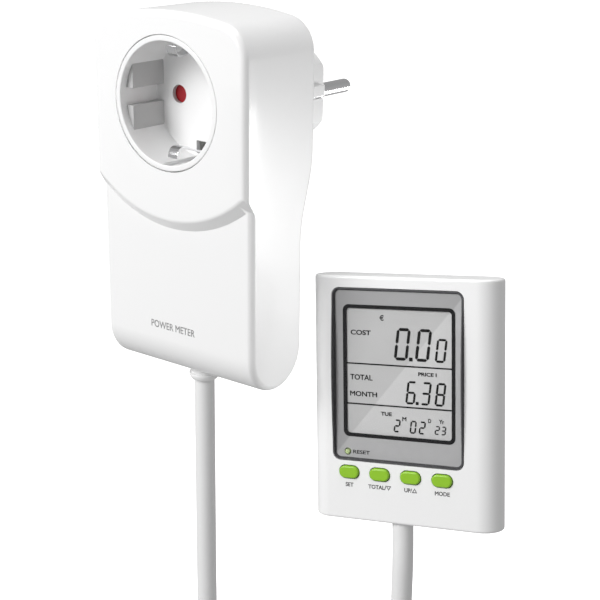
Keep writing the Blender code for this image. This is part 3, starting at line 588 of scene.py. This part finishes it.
def add_side_lights(housing, plug):
    """The housing's right side is brightest at its lower half, and the pins have a bright lower edge."""
    add_linked_light("flank", (0.26, 0.14, -0.10), (0.033, -0.04, -0.05), 0.10, 0.047, [housing])
    add_linked_light("plug_edge", (0.13, 0.25, -0.14), (0.033, -0.04, -0.085), 0.08, 0.17, plug)


# -------------------------------------------------------------------- cord

def ease(share):
    """A smooth change from 0 to 1."""
    return share * share * (3 - 2 * share)


def lead_route(start, direction, straight, end):
    """A lead that leaves its unit, turns down, hangs straight to a height and eases over to an end."""
    leave = start + direction * 4.0
    points = [start, leave]
    slope = Vector((direction.x, direction.y, 0.0)) / -direction.z
    for share in (0.25, 0.5, 0.75, 1.0):
        fall = Vector((0.0, 0.0, LEAD_TURN * share))
        points.append(leave + slope * LEAD_TURN * (share - share * share / 2) - fall)
    hang = points[-1]
    for share in (0.25, 0.5, 0.75, 1.0):
        points.append(Vector((hang.x, hang.y, hang.z + (straight - hang.z) * share)))
    for step in range(1, 9):
        share = step / 8
        flat = hang.lerp(Vector(end), ease(share))
        points.append(Vector((flat.x, flat.y, straight + (end[2] - straight) * share)))
    return points


def coil_route():
    """A coil in two flat layers: spiralling inwards, crossing over half a turn and back outwards."""
    centre = Vector(COIL_CENTRE)
    inwards = (COIL_TURNS - 0.5) / 2
    pitch = (COIL_OUTER - COIL_CROSSING) / inwards
    points = []
    total = int(COIL_TURNS * COIL_STEPS)
    for step in range(total + 1):
        turn = COIL_TURNS * step / total
        angle = math.pi + 2 * math.pi * turn
        if turn <= inwards:
            radius = COIL_OUTER - pitch * turn
            layer = -0.5
        elif turn >= inwards + 0.5:
            radius = COIL_CROSSING + pitch * (turn - inwards - 0.5)
            layer = 0.5
        else:
            share = (turn - inwards) / 0.5
            radius = COIL_CROSSING
            layer = ease(share) - 0.5
        way = Vector((radius * math.cos(angle), COIL_LAYERS * layer, radius * math.sin(angle)))
        points.append(centre + way)
    return points


def add_cord():
    """The cord from the module's lower end, through a tied coil, up into the display's lower end."""
    module_start = Vector((MODULE_EXIT[0], MODULE_EXIT[1] - PLUG_FACE, BOTTOM - PLUG_Z - 3.6))
    display_start = DISPLAY_PLACE @ (Vector((*DISPLAY_EXIT, -DISPLAY_HEIGHT / 2 - 0.5)) * MM) / MM
    down = DISPLAY_PLACE.to_3x3() @ Vector((0.0, 0.0, -1.0))
    centre = Vector(COIL_CENTRE)
    ends = [centre + Vector((side * COIL_OUTER, side * COIL_LAYERS / 2, COIL_CLEAR)) for side in (-1, 1)]
    first = lead_route(module_start, Vector((0.0, 0.0, -1.0)), MODULE_LEAD_STRAIGHT, ends[0])
    last = lead_route(display_start, down, DISPLAY_LEAD_STRAIGHT, ends[1])
    coil = coil_route()
    inside = Vector((0.0, 0.0, 6.0))
    route = [module_start + inside, *first, *coil, *reversed(last), display_start - down * 4.0]
    curve = bpy.data.curves.new("cord", "CURVE")
    curve.dimensions = "3D"
    curve.bevel_depth = CORD / 2 * MM
    curve.bevel_resolution = 7
    curve.use_fill_caps = True
    curve.resolution_u = 3
    spline = curve.splines.new("BEZIER")
    spline.bezier_points.add(len(route) - 1)
    for target, point in zip(spline.bezier_points, route):
        target.co = point * MM
        target.handle_left_type = "AUTO"
        target.handle_right_type = "AUTO"
    curve.materials.append(FINISHES["cord_white"])
    cord = bpy.data.objects.new("cord", curve)
    show(cord)
    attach(cord, "meter")
    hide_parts("cord_module_lead", "cord_coil", "cord_display_lead")
    tie = add_tie()


def add_tie():
    """A soft strap closed round the lower side of the coil."""
    outer = COIL_OUTER + CORD / 2
    inner = COIL_CROSSING - CORD / 2
    middle = COIL_CENTRE[2] - (outer + inner) / 2
    reach = (outer - inner) / 2
    half = (COIL_LAYERS + CORD) / 2
    centre = (COIL_CENTRE[1], middle)
    band = rounded(centre, (2 * half + 3.0, 2 * reach + 3.0), 5.0, 8)
    x = COIL_CENTRE[0]
    tie = solid("cord_strap", prism(band, "X", x - 4.0, x + 4.0), WORLD_PLACE)
    hole = rounded(centre, (2 * half + 0.8, 2 * reach + 0.8), 4.0, 8)
    carve(tie, prism(hole, "X", x - 9.0, x + 9.0))
    soften(tie, 0.3, 2, 60.0)
    return dress(tie, "tie_black", nodes=["cord_tie"])


# ------------------------------------------------------------------ module

def back_depth(z):
    """Depth of the housing's bent back at a height."""
    share = min(max((z - BEND_BOTTOM) / (BEND_TOP - BEND_BOTTOM), 0.0), 1.0)
    return LOWER_BACK + (UPPER_BACK - LOWER_BACK) * (1 - math.cos(math.pi * share)) / 2


def side_profile(inset):
    """The housing seen from its side, as (depth, z), with its round lower end and bent back."""
    points = [(STEP_DEPTH + inset, FAR)]
    points += arc((END_DEPTH, END_CENTRE), END_RADIUS - inset, 180, 360, 48)
    bend_steps = 24
    for step in range(bend_steps + 1):
        z = BEND_BOTTOM + (BEND_TOP - BEND_BOTTOM) * step / bend_steps
        points.append((back_depth(z) - inset, z))
    points.append((UPPER_BACK - inset, FAR))
    return points


def front_outline(inset, bottom=-FAR):
    """The housing seen from the front, as (x, z): straight sides, round shoulders and a low arch."""
    arch_centre = TOP - ARCH_RADIUS
    shoulder_x = HALF_WIDTH - CORNER_RADIUS
    shoulder_z = arch_centre + math.sqrt((ARCH_RADIUS - CORNER_RADIUS) ** 2 - shoulder_x ** 2)
    meet = math.degrees(math.atan2(shoulder_z - arch_centre, shoulder_x))
    points = [(HALF_WIDTH - inset, bottom)]
    points += arc((shoulder_x, shoulder_z), CORNER_RADIUS - inset, 0, meet, 18)
    points += arc((0, arch_centre), ARCH_RADIUS - inset, meet, 180 - meet, 20)[1:-1]
    points += arc((-shoulder_x, shoulder_z), CORNER_RADIUS - inset, 180 - meet, 180, 18)
    points.append((-HALF_WIDTH + inset, bottom))
    return [(x + MIDDLE, z) for x, z in points]


def bib_cone(inset, reach):
    """The raised upper part's round lower flank, a short cone, inset all round."""
    radius = BIB_RADIUS - inset
    return bar((MIDDLE, BIB_CENTRE), inset, inset + reach, radius, 320, radius + BIB_SLOPE * reach)


def body_block(name, inset):
    """The housing without its raised upper part, inset all round."""
    block = solid(name, prism(side_profile(inset), "X", -WIDE, WIDE))
    carve(block, prism(front_outline(inset), "Y", *THROUGH), "INTERSECT")
    return block


def raised_front():
    """The raised upper part: soft outer edges, and a round lower flank with a narrow soft edge."""
    front = solid("raised_front", prism(front_outline(FREE), "Y", 0.0, 9.0))
    soften(front, FRONT_SOFT, 6, 60.0)
    reach = 6.5
    turn = 90 - math.degrees(math.atan(BIB_SLOPE))
    start = BIB_RADIUS - FLANK_SOFT * math.tan(math.radians(turn / 2))
    profile = [(0.0, 0.0)] + arc((start, FLANK_SOFT), FLANK_SOFT, -90, turn - 90, 8)
    profile += [(BIB_RADIUS + BIB_SLOPE * reach, reach), (0.0, reach)]
    carve(front, aimed(lathe(profile, 320), (MIDDLE, 0.0, BIB_CENTRE), (0, 1, 0)), "INTERSECT")
    return front


def add_housing():
    """The module's front shell, with its back opening and its cord outlet."""
    shell = body_block("housing_shell", 0.0)
    soften(shell, FRONT_SOFT, 6, 38.0)
    combine(shell, raised_front(), "UNION")
    hollow = body_block("housing_hollow", WALL)
    carve(hollow, bib_cone(WALL, 9.0), "UNION")
    carve(hollow, prism(front_outline(WALL), "Y", *THROUGH), "INTERSECT")
    combine(shell, hollow, "DIFFERENCE")
    opening = front_outline(WALL + 0.2, COVER_BOTTOM - GAP)
    carve(shell, prism(opening, "Y", END_DEPTH, 60.0))
    carve(shell, bar((0, 0), -5, 12, RING_RADIUS + GAP, 160))
    carve(shell, rod((*MODULE_EXIT, BOTTOM - 5), (*MODULE_EXIT, BOTTOM + 9), COLLAR_RADIUS + GAP, 48))
    return dress(shell, "gloss_white", nodes=["module_housing"], angle=40.0)


def add_back_cover():
    """The back plate with the plug hole and four screw recesses."""
    sheet = [point for point in side_profile(0.0) if point[0] >= LOWER_BACK - 0.01]
    inner = [(depth - WALL, z) for depth, z in reversed(sheet)]
    cover = solid("back_plate", prism(sheet + inner, "X", -WIDE, WIDE))
    carve(cover, prism(front_outline(WALL + 0.2 + GAP, COVER_BOTTOM), "Y", 10.0, 60.0), "INTERSECT")
    carve(cover, bar((0, PLUG_Z), 20, 50, PLUG_RADIUS + GAP, 128))
    for x, z in MODULE_SCREWS:
        back = back_depth(z)
        carve(cover, bar((x, z), 20, back + 5, 1.5, 24))
        carve(cover, bar((x, z), back - 1.3, back + 5, 2.9, 40))
    soften(cover, 0.25, 2, 50.0)
    dress(cover, "gloss_white", nodes=["module_back_cover"], angle=40.0)


def add_screw(name, place, radius, shank, nodes, matrix):
    """A pan-head screw with a cross recess, its head facing +Y."""
    rise = 0.45
    dome = [(radius * c, rise * (s - 1)) for c, s in arc((0.0, 0.0), 1.0, 90, 0, 6)][1:]
    profile = [(0.0, 0.0), *dome, (radius, -1.0), (shank, -1.0), (shank, -8.0), (0.0, -8.6)]
    screw = solid(name, aimed(lathe(profile, 40), place, (0, 1, 0)), matrix)
    x, y, z = place
    long = radius * 0.55
    short = 0.28
    for wide, tall in ((long, short), (short, long)):
        carve(screw, box((x - wide, x + wide), (y - 0.7, y + 1), (z - tall, z + tall)))
    dress(screw, "steel", nodes=nodes)


def add_insert():
    """The socket cup: rolled rim, guide blocks, pin holes and earth clip slots."""
    edge = 0.35
    corner = 0.4
    profile = [(0.0, FLOOR_BACK), (RING_RADIUS, FLOOR_BACK)]
    profile += arc((RING_RADIUS - edge, RING_FRONT + edge), edge, 0, -90, 6)
    profile += arc((RECESS_RADIUS + edge, RING_FRONT + edge), edge, -90, -180, 6)
    profile += arc((RECESS_RADIUS - corner, RECESS_FLOOR - corner), corner, 0, 90, 4)
    profile += [(0.0, RECESS_FLOOR)]
    insert = solid("socket_cup", aimed(lathe(profile, 160), (0, 0, 0), (0, 1, 0)))
    for side in (-1, 1):
        carve(insert, bar((side * PIN_X, 0), 10, 25, HOLE_RADIUS, 64))
        slot_x = (-EARTH_WIDTH / 2 - GAP, EARTH_WIDTH / 2 + GAP)
        carve(insert, box(slot_x, (10, 25), sorted((side * 14.2, side * 18.4))))
        channel_z = sorted((side * (RECESS_RADIUS - 2.0), side * (RING_RADIUS - 0.8)))
        carve(insert, box(slot_x, (0.8, RECESS_FLOOR), channel_z))
    dress(insert, "insert_white", nodes=["socket_insert"], angle=35.0)
    # Painted shade: the blocks at the left and the linings of the pin holes take a darker finish for the
    # shade that falls on them
    for name, side, look in (("left", -1, "insert_shade"), ("right", 1, "insert_white")):
        blocks = []
        for level in (-1, 1):
            x = sorted((side * GUIDE_FACE, side * (RECESS_RADIUS + 0.6)))
            z = sorted((level * GUIDE_SPAN[0], level * GUIDE_SPAN[1]))
            blocks.append(box(x, (GUIDE_START, RECESS_FLOOR + 0.6), z))
        guides = solid("guide_blocks_" + name, merged(blocks))
        soften(guides, 0.2, 3, 40.0)
        dress(guides, look, nodes=["socket_insert"])
        front, back = RECESS_FLOOR + FREE, FLOOR_BACK - FREE
        outer, inner = HOLE_RADIUS + 0.1, HOLE_RADIUS - FREE
        lining = lathe([(outer, front), (inner, front), (inner, back), (outer, back)], 64)
        shade_lining = solid("hole_shade_lining_" + name, aimed(lining, (side * PIN_X, 0, 0), (0, 1, 0)))
        dress(shade_lining, "insert_shade", nodes=["socket_insert"])


def clip_line(side, offset):
    """One face of an earth clip as (depth, z): hooked nose, hump towards the axis and straight tail."""
    nose = arc((6.3, 17.2), 3.2 - offset, 170, 270, 16)
    tail = [(8.2, 14.35 + offset), (9.8, 15.0 + offset), (11.4, 15.65 + offset), (13.0, 16.2 + offset),
            (15.2, 16.65 + offset), (17.6, 16.9 + offset), (23.5, 16.9 + offset)]
    return [(depth, side * z) for depth, z in nose + tail]


def add_earth_clips():
    """The two sprung earth clips."""
    for name, side in (("top", 1), ("bottom", -1)):
        outline = clip_line(side, 0.0) + list(reversed(clip_line(side, 0.7)))
        clip = solid("earth_clip_" + name + "_strip", prism(outline, "X", -EARTH_WIDTH / 2, EARTH_WIDTH / 2))
        soften(clip, 0.12, 2, 60.0)
        dress(clip, "nickel", "earth_clip_" + name, ["socket_earth_clip_" + name])


def add_plug():
    """The plug's round body with side flats and ribs, its pins and its earth strips.

    It gives back the body and the pins, which have a light of their own.
    """
    start = UPPER_BACK - WALL - GAP - 0.1
    body = solid("plug_shell", bar((0, PLUG_Z), start, PLUG_FACE, PLUG_RADIUS, 160))
    soften(body, 1.2, 5, 60.0)
    for side in (-1, 1):
        x = sorted((side * PLUG_FLAT, side * 30.0))
        carve(body, box(x, (UPPER_BACK + 1.0, 80), (PLUG_Z - 12, PLUG_Z + 12)))
        rib_x = sorted((side * (PLUG_FLAT - 1.0), side * (PLUG_FLAT + 1.3)))
        middle = PLUG_Z + RIB_RISE
        rib = solid("tool", box(rib_x, (UPPER_BACK + 0.6, PLUG_FACE - 0.8), (middle - 1.9, middle + 1.9)))
        soften(rib, 0.25, 2, 40.0)
        combine(body, rib, "UNION")
        groove_x = sorted((side * (PLUG_FLAT - 0.7), side * 30.0))
        carve(body, box(groove_x, (UPPER_BACK + 1.0, 80), (middle - 2.9, middle - 1.9)))
        carve(body, bar((side * PIN_X, PLUG_Z), 20, 80, PIN_RADIUS + GAP, 48))
        strip_z = sorted((PLUG_Z + side * (PLUG_RADIUS - 2.1), PLUG_Z + side * 30))
        carve(body, box((-EARTH_WIDTH / 2 - GAP, EARTH_WIDTH / 2 + GAP), (20, PLUG_FACE - 1.5), strip_z))
    lit = [dress(body, "gloss_white", nodes=["plug_body"], angle=35.0)]
    for name, side in (("left", -1), ("right", 1)):
        tip = [(r, h + PIN_LENGTH - 2.2) for r, h in arc((PIN_RADIUS - 2.2, 0.0), 2.2, 90, 0, 10)]
        profile = [(0.0, PIN_LENGTH)] + tip + [(PIN_RADIUS, -32.5), (0.0, -32.5)]
        pin = solid("pin_" + name, aimed(lathe(profile, 64), (side * PIN_X, PLUG_FACE, PLUG_Z), (0, 1, 0)))
        lit.append(dress(pin, "nickel", nodes=["plug_pin_" + name]))
    for name, side in (("top", 1), ("bottom", -1)):
        z = sorted((PLUG_Z + side * (PLUG_RADIUS - 1.8), PLUG_Z + side * (PLUG_RADIUS - 1.0)))
        plate = box((-EARTH_WIDTH / 2, EARTH_WIDTH / 2), (start + 0.6, PLUG_FACE - 1.9), z)
        strip = solid("earth_strip_" + name, plate)
        soften(strip, 0.3, 3)
        dress(strip, "nickel", nodes=["plug_earth_strip_" + name])
    return lit


def add_module_relief():
    """The short white collar that the cord leaves the module through."""
    low = BOTTOM - 3.3
    inside = [(0.0, 20.5), (3.8, 20.5), (4.0, 20.2), (COLLAR_RADIUS, 9.3)]
    flange = [(5.8, 9.3), (5.8, 7.7), (COLLAR_RADIUS, 7.7), (COLLAR_RADIUS, 2.5)]
    collar = [(5.1, 2.4), (5.18, 2.1), (5.1, 1.5), (4.9, 1.0), (4.5, 0.35), (4.1, 0.05), (3.7, 0.0)]
    turned = lathe(inside + flange + collar + [(0.0, 0.0)], 64)
    relief = solid("module_collar", aimed(turned, (*MODULE_EXIT, low), (0, 0, 1)))
    carve(relief, rod((*MODULE_EXIT, low - 5), (*MODULE_EXIT, low + 8), CORD / 2 + GRIP, 48))
    dress(relief, "gloss_white", nodes=["module_strain_relief"])


# ----------------------------------------------------------------- display

def display_outline(inset):
    """The display's level section as (x, depth): flat front and back with fully round sides."""
    steps = 28
    radius = DISPLAY_DEPTH / 2 - inset
    centre_x = DISPLAY_WIDTH / 2 - DISPLAY_DEPTH / 2
    points = arc((centre_x, DISPLAY_DEPTH / 2), radius, -90, 90, steps)
    return points + arc((-centre_x, DISPLAY_DEPTH / 2), radius, 90, 270, steps)


# Each key's name and its place along the row
BUTTONS = [(name, BUTTON_MIDDLE + (index - 1.5) * BUTTON_PITCH)
           for index, name in enumerate(("set", "total", "up", "mode"))]


def display_screw_places():
    """The four corners where the display's shells are screwed together."""
    return [(x * DISPLAY_SCREWS[0], z * DISPLAY_SCREWS[1]) for x in (-1, 1) for z in (-1, 1)]


def display_block(name):
    """The display's whole outer form, with its top and bottom edges rounded by stacked outlines."""
    half = DISPLAY_HEIGHT / 2 - DISPLAY_SOFT
    levels = [(DISPLAY_SOFT - out, up - half) for out, up in arc((0.0, 0.0), DISPLAY_SOFT, -90, 0, 6)]
    levels += [(DISPLAY_SOFT - out, up + half) for out, up in arc((0.0, 0.0), DISPLAY_SOFT, 0, 90, 6)]
    loops = [[(x, y, z) for x, y in display_outline(inset)] for inset, z in levels]
    return solid(name, skin(loops, ring=False), DISPLAY_PLACE)


def add_display_shells():
    """The display's front shell with its window seat, and its rear shell with the battery bay."""
    half = DISPLAY_HEIGHT / 2
    shell = display_block("display_front")
    carve(shell, prism(display_outline(2.0), "Z", -half + 2.0, half - 2.0))
    carve(shell, box((-60, 60), (DISPLAY_SEAM, 40), (-60, 60)))
    x, z, width, height = PANEL
    seat = rounded((x, z), (width + 2 * GAP, height + 2 * GAP), PANEL_CORNER + GAP)
    carve(shell, prism(seat, "Y", -5.0, 1.4))
    opening = rounded(LCD[:2], (LCD[2] + 1.2, LCD[3] + 1.2), 0.7, 2)
    carve(shell, prism(opening, "Y", -5.0, 5.0))
    for _, x in BUTTONS:
        hole = pill((x, BUTTON_Z), (BUTTON_SIZE[0] + 2 * GAP, BUTTON_SIZE[1] + 2 * GAP))
        carve(shell, prism(hole, "Y", -5.0, 5.0))
    carve(shell, bar(RESET_PLACE, -5, 5, 1.4, 32))
    carve(shell, rod((*DISPLAY_EXIT, -half - 5), (*DISPLAY_EXIT, -half + 7.5), GROMMET_RADIUS + GAP, 48))
    dress(shell, "gloss_white", nodes=["display_front_shell"], angle=35.0)

    rear = display_block("display_rear")
    carve(rear, box((-60, 60), (-20, DISPLAY_SEAM + GAP), (-60, 60)))
    low_x, high_x, low_z, high_z = BATTERY_WELL
    carve(rear, box((low_x, high_x), (5, 25), (low_z, high_z)))
    rail_z = (low_z - DOOR_TRAVEL - 1.0, high_z)
    carve(rear, box((low_x - 1.2, high_x + 1.2), (DOOR_RAIL[0] - GAP, DOOR_RAIL[1] + GAP), rail_z))
    carve(rear, box((low_x, high_x), (DOOR_RAIL[1], 25), rail_z))
    for x, z in display_screw_places():
        carve(rear, bar((x, z), 5, 25, 1.3, 24))
        carve(rear, bar((x, z), DISPLAY_DEPTH - 1.2, 25, 2.5, 40))
    dress(rear, "gloss_white", nodes=["display_rear_shell"], angle=35.0)


def add_battery_door():
    """The sliding battery door with its grip grooves."""
    low_x, high_x, low_z, high_z = BATTERY_WELL
    span = (low_z + GAP, high_z - GAP)
    door = solid("door", box((low_x - 0.9, high_x + 0.9), DOOR_RAIL, span), DISPLAY_PLACE)
    carve(door, box((low_x + GAP, high_x - GAP), (DOOR_RAIL[0] + 0.2, DISPLAY_DEPTH - 0.2), span), "UNION")
    for step in range(4):
        groove = pill((0.0, low_z + 4.0 + 1.6 * step), (10.0, 0.7), 8)
        carve(door, prism(groove, "Y", DISPLAY_DEPTH - 0.6, 20))
    soften(door, 0.12, 2, 50.0)
    dress(door, "gloss_white", "battery_cover", ["battery_door"])


def add_window():
    """The bowed clear window with its edge in painted shade, the rim line, the silver panel and the screen's
    black border.
    """
    x, z, width, height = PANEL
    steps = 32
    curve = []
    for step in range(steps + 1):
        along = -1 + 2 * step / steps
        curve.append((-WINDOW_BOW * (1 - along * along), z + along * height / 2))
    side = curve + [(WINDOW_BACK, z + height / 2), (WINDOW_BACK, z - height / 2)]
    window = solid("window", prism(side, "X", x - width, x + width), DISPLAY_PLACE)
    outline = rounded((x, z), (width, height), PANEL_CORNER)
    carve(window, prism(outline, "Y", -10.0, 10.0), "INTERSECT")
    soften(window, 0.2, 2, 50.0)
    dress(window, "window_clear", nodes=["window_lens"], angle=35.0)
    # Painted shade: a dark grey band round the window's edge stands for the dark reflection in the clear
    # window's side walls
    bowed = []
    for edge, front in ((FREE, False), (FREE, True), (-0.3, True), (-0.3, False)):
        line = rounded((x, z), (width + 2 * edge, height + 2 * edge), PANEL_CORNER + edge)
        loop = []
        for px, pz in close_set(line, 1.5):
            along = min(abs(pz - z) / (height / 2), 1.0)
            bow = -WINDOW_BOW * (1 - along * along) - FREE
            loop.append((px, bow if front else WINDOW_BACK, pz))
        bowed.append(loop)
    dress(solid("window_edge_shade", skin(bowed), DISPLAY_PLACE), "rim_line_and_edge_shade")

    hole = bar(RESET_PLACE, -10, 10, 1.2, 32)
    # The silver panel and the screen's glass take finishes with a painted glare
    panel = solid("silver_panel", prism(outline, "Y", *PANEL_DEPTHS), DISPLAY_PLACE)
    opening = rounded(LCD[:2], LCD[2:], 2.0)
    carve(panel, prism(opening, "Y", -5.0, 5.0))
    carve(panel, hole)
    dress(panel, "panel_silver", nodes=["bezel_panel"])
    inner = rounded((x, z), (width - 1.5, height - 1.5), PANEL_CORNER - 0.75)
    rim = solid("rim_line", ring_prism(outline, inner, *RIM_DEPTHS), DISPLAY_PLACE)
    dress(rim, "rim_line_and_edge_shade")
    outer = rounded(LCD[:2], LCD[2:], 2.0)
    inner = rounded(LCD[:2], (LCD[2] - 2.3, LCD[3] - 2.3), 1.2)
    border = solid("screen_border", ring_prism(outer, inner, *BORDER_DEPTHS), DISPLAY_PLACE)
    dress(border, "print_black")
    sheet = rounded(LCD[:2], (LCD[2] + 0.6, LCD[3] + 0.6), 0.5)
    glass = solid("screen", prism(sheet, "Y", *GLASS_DEPTHS), DISPLAY_PLACE)
    dress(glass, "lcd_grey", nodes=["lcd_glass"])


# The lit bars of each digit: a on top, then clockwise to f, and g in the middle
SEGMENTS = {
    "0": "abcdef", "2": "abged", "3": "abgcd", "6": "afgedc", "8": "abcdefg",
}


def digit_outlines(mark, x, z, width, height, thick):
    """The bars of one seven-segment digit as outlines of (x, z)."""
    slant = 0.12
    half = thick / 2
    gap = thick * 0.10
    mid = height / 2
    bars = {}
    for name, level in (("a", height - half), ("g", mid), ("d", half)):
        low = half + gap
        high = width - half - gap
        bars[name] = [(low, level), (low + half, level + half), (high - half, level + half), (high, level),
                      (high - half, level - half), (low + half, level - half)]
    for name, along, start, end in (("f", half, mid, height - half), ("e", half, half, mid),
                                    ("b", width - half, mid, height - half), ("c", width - half, half, mid)):
        low = start + gap
        high = end - gap
        bars[name] = [(along, low), (along - half, low + half), (along - half, high - half), (along, high),
                      (along + half, high - half), (along + half, low + half)]
    return [[(x + a + slant * b, z + b) for a, b in bars[name]] for name in SEGMENTS[mark]]


def merged(shapes):
    """One bmesh holding several."""
    whole = bmesh.new()
    for bm in shapes:
        mesh = bpy.data.meshes.new("part")
        bm.to_mesh(mesh)
        bm.free()
        whole.from_mesh(mesh)
        bpy.data.meshes.remove(mesh)
    return whole


CAP_SHARE = 0.729  # the height of a capital in a font of size 1


def lettering(name, words, x, z, cap, look, depth, place=DISPLAY_PLACE, align="LEFT", width=None, bold=0.05):
    """Raised words on a front face, set by their left end or middle, base line and capital height."""
    curve = bpy.data.curves.new(name, "FONT")
    curve.body = words
    curve.size = cap / CAP_SHARE * MM
    curve.bevel_depth = bold * MM
    curve.bevel_resolution = 0
    curve.align_x = align
    obj = bpy.data.objects.new(name, curve)
    show(obj)
    bpy.context.view_layer.update()
    stretch = 1.0 if width is None else width * MM / obj.dimensions.x
    stand = Matrix.Translation(Vector((x, depth, z)) * MM) @ Matrix.Rotation(math.pi / 2, 4, "X")
    obj.matrix_world = place @ stand @ Matrix.Diagonal((stretch, 1.0, 1.0, 1.0))
    bpy.context.view_layer.update()
    graph = bpy.context.evaluated_depsgraph_get()
    mesh = bpy.data.meshes.new_from_object(obj.evaluated_get(graph))
    flat = bpy.data.objects.new(name, mesh)
    flat.matrix_world = obj.matrix_world
    show(flat)
    bpy.data.objects.remove(obj)
    return dress(flat, look, weighted=False)


def add_screen():
    """Everything that the screen shows: two rules, the digits, the points and the words."""
    shift_x = -0.42
    shift_z = -0.20
    shapes = []
    rows = (("00", (-2.3, 4.9), 13.5, 4.7, 10.4, 0.95), ("0", (11.6,), 13.5, 3.5, 7.6, 0.72),
            ("638", (1.6, 6.6, 11.5), -0.4, 3.2, 7.5, 0.68), ("202", (-2.5, 3.0, 6.1), -9.8, 2.1, 4.2, 0.5),
            ("23", (11.5, 13.6), -9.5, 1.6, 2.8, 0.38))
    for marks, places, z, width, height, thick in rows:
        for mark, x in zip(marks, places):
            for outline in digit_outlines(mark, x + shift_x, z + shift_z, width, height, thick):
                shapes.append(prism(outline, "Y", *MARK_DEPTHS))
    for x, z, size in ((3.6, 14.0, 1.2), (5.7, 0.05, 1.0)):
        dot = rounded((x + shift_x, z + shift_z), (size, size), 0.15, 2)
        shapes.append(prism(dot, "Y", *MARK_DEPTHS))
    for z in (11.7, -1.45):
        middle = (LCD[0] - 0.3, z + shift_z)
        shapes.append(prism(rounded(middle, (LCD[2] - 1.0, 0.46), 0.05, 1), "Y", *MARK_DEPTHS))
    dress(solid("screen_marks", merged(shapes), DISPLAY_PLACE), "lcd_ink", weighted=False)
    words = [("euro", "€", -7.1, 26.0, 1.7, 1.5), ("cost", "COST", -17.3, 21.1, 1.55, 7.05),
             ("price", "PRICE I", 6.0, 8.95, 1.15, 6.2), ("total_word", "TOTAL", -17.5, 6.45, 1.75, 7.85),
             ("month", "MONTH", -17.75, 1.1, 1.6, 9.5), ("tuesday", "TUE", -6.8, -4.65, 1.2, 3.8),
             ("month_mark", "M", 0.5, -5.9, 1.3, 1.4), ("day_mark", "D", 9.35, -5.85, 1.25, 1.0),
             ("year_mark", "Yr", 13.15, -5.85, 1.25, 1.7)]
    for name, text, x, z, cap, width in words:
        lettering("screen_" + name, text, x + shift_x, z + shift_z, cap, "lcd_ink",
                  MARK_DEPTHS[0] + FREE, width=width)


def add_keys():
    """The four round-ended keys with soft crowns, their captions and the reset key."""
    for name, x in BUTTONS:
        key = solid(name + "_key_cap", prism(pill((x, BUTTON_Z), BUTTON_SIZE), "Y", -0.9, 3.4), DISPLAY_PLACE)
        soften(key, 0.55, 5, 60.0)
        flange = rounded((x, BUTTON_Z), (BUTTON_SIZE[0] + 1.6, BUTTON_SIZE[1] + 1.6), 1.0, 3)
        carve(key, prism(flange, "Y", 2.4, 3.2), "UNION")
        carve(key, bar((x, BUTTON_Z), 3.0, 4.3, 1.4, 24), "UNION")
        dress(key, "button_green", name + "_key", [name + "_button"])
    for text, (name, x) in zip(("SET", "TOTAL/▽", "UP/△", "MODE"), BUTTONS):
        lettering(name + "_caption", text, x, CAPTION_Z, 1.3, "label_grey", 0.0, align="CENTER", bold=0.06)
    x, z = RESET_PLACE
    crown = [(0.0, -0.2), (0.6, -0.22), (0.78, -0.32), (0.85, -0.5)]
    foot = [(0.85, -2.6), (1.9, -2.6), (1.9, -3.1), (0.0, -3.1)]
    key = solid("reset_key_cap", aimed(lathe(crown + foot, 32), (x, 0.0, z), (0, -1, 0)), DISPLAY_PLACE)
    dress(key, "reset_green", "reset_key", ["reset_button"])
    lettering("reset_caption", "RESET", x + 1.75, z - 0.5, 1.2, "print_black", 0.70, width=5.9, bold=0.03)


def add_display_relief():
    """The grommet round the cord where it enters the display."""
    bottom = -DISPLAY_HEIGHT / 2
    radius = GROMMET_RADIUS
    profile = [(0.0, 7.2), (radius - 0.2, 7.2), (radius, 7.0), (radius, 4.4), (4.1, 4.4), (4.1, 2.6),
               (radius, 2.6), (radius, 0.1), (radius - 0.1, 0.0), (0.0, 0.0)]
    turned = aimed(lathe(profile, 48), (*DISPLAY_EXIT, bottom - 0.2), (0, 0, 1))
    relief = solid("display_grommet", turned, DISPLAY_PLACE)
    carve(relief, rod((*DISPLAY_EXIT, bottom - 5), (*DISPLAY_EXIT, bottom + 4.2), CORD / 2 + GRIP, 48))
    dress(relief, "gloss_white", nodes=["display_strain_relief"])


def dress_frame_nodes():
    """Give each frame node that stays in view the procedural finish of its slot."""
    slots = {entry["node"]: entry["material_slot"] for entry in frame["record"]["subparts"]}
    for name, obj in frame["nodes"].items():
        look = FINISHES[slots[name]]
        if not obj.material_slots:
            obj.data.materials.append(look)
        for entry in obj.material_slots:
            entry.material = look


add_camera()
add_stage()
add_cord()
housing = add_housing()
add_back_cover()
for number, (x, z) in enumerate(MODULE_SCREWS, 1):
    add_screw(f"module_screw_{number}", (x, back_depth(z) - 0.2, z), 2.5, 1.1,
              [f"back_cover_screw_{number}"], MODULE_PLACE)
add_insert()
add_earth_clips()
add_side_lights(housing, add_plug())
add_module_relief()
add_display_shells()
add_battery_door()
for number, (x, z) in enumerate(display_screw_places(), 1):
    add_screw(f"display_back_screw_{number}", (x, DISPLAY_DEPTH - 0.3, z), 2.1, 0.95,
              [f"display_screw_{number}"], DISPLAY_PLACE)
add_window()
add_screen()
add_keys()
add_display_relief()
lettering("housing_words", "POWER METER", -1.2, -75.7, 2.5, "print_grey", STEP_DEPTH - 0.02,
          MODULE_PLACE, "CENTER", 19.3)
dress_frame_nodes()
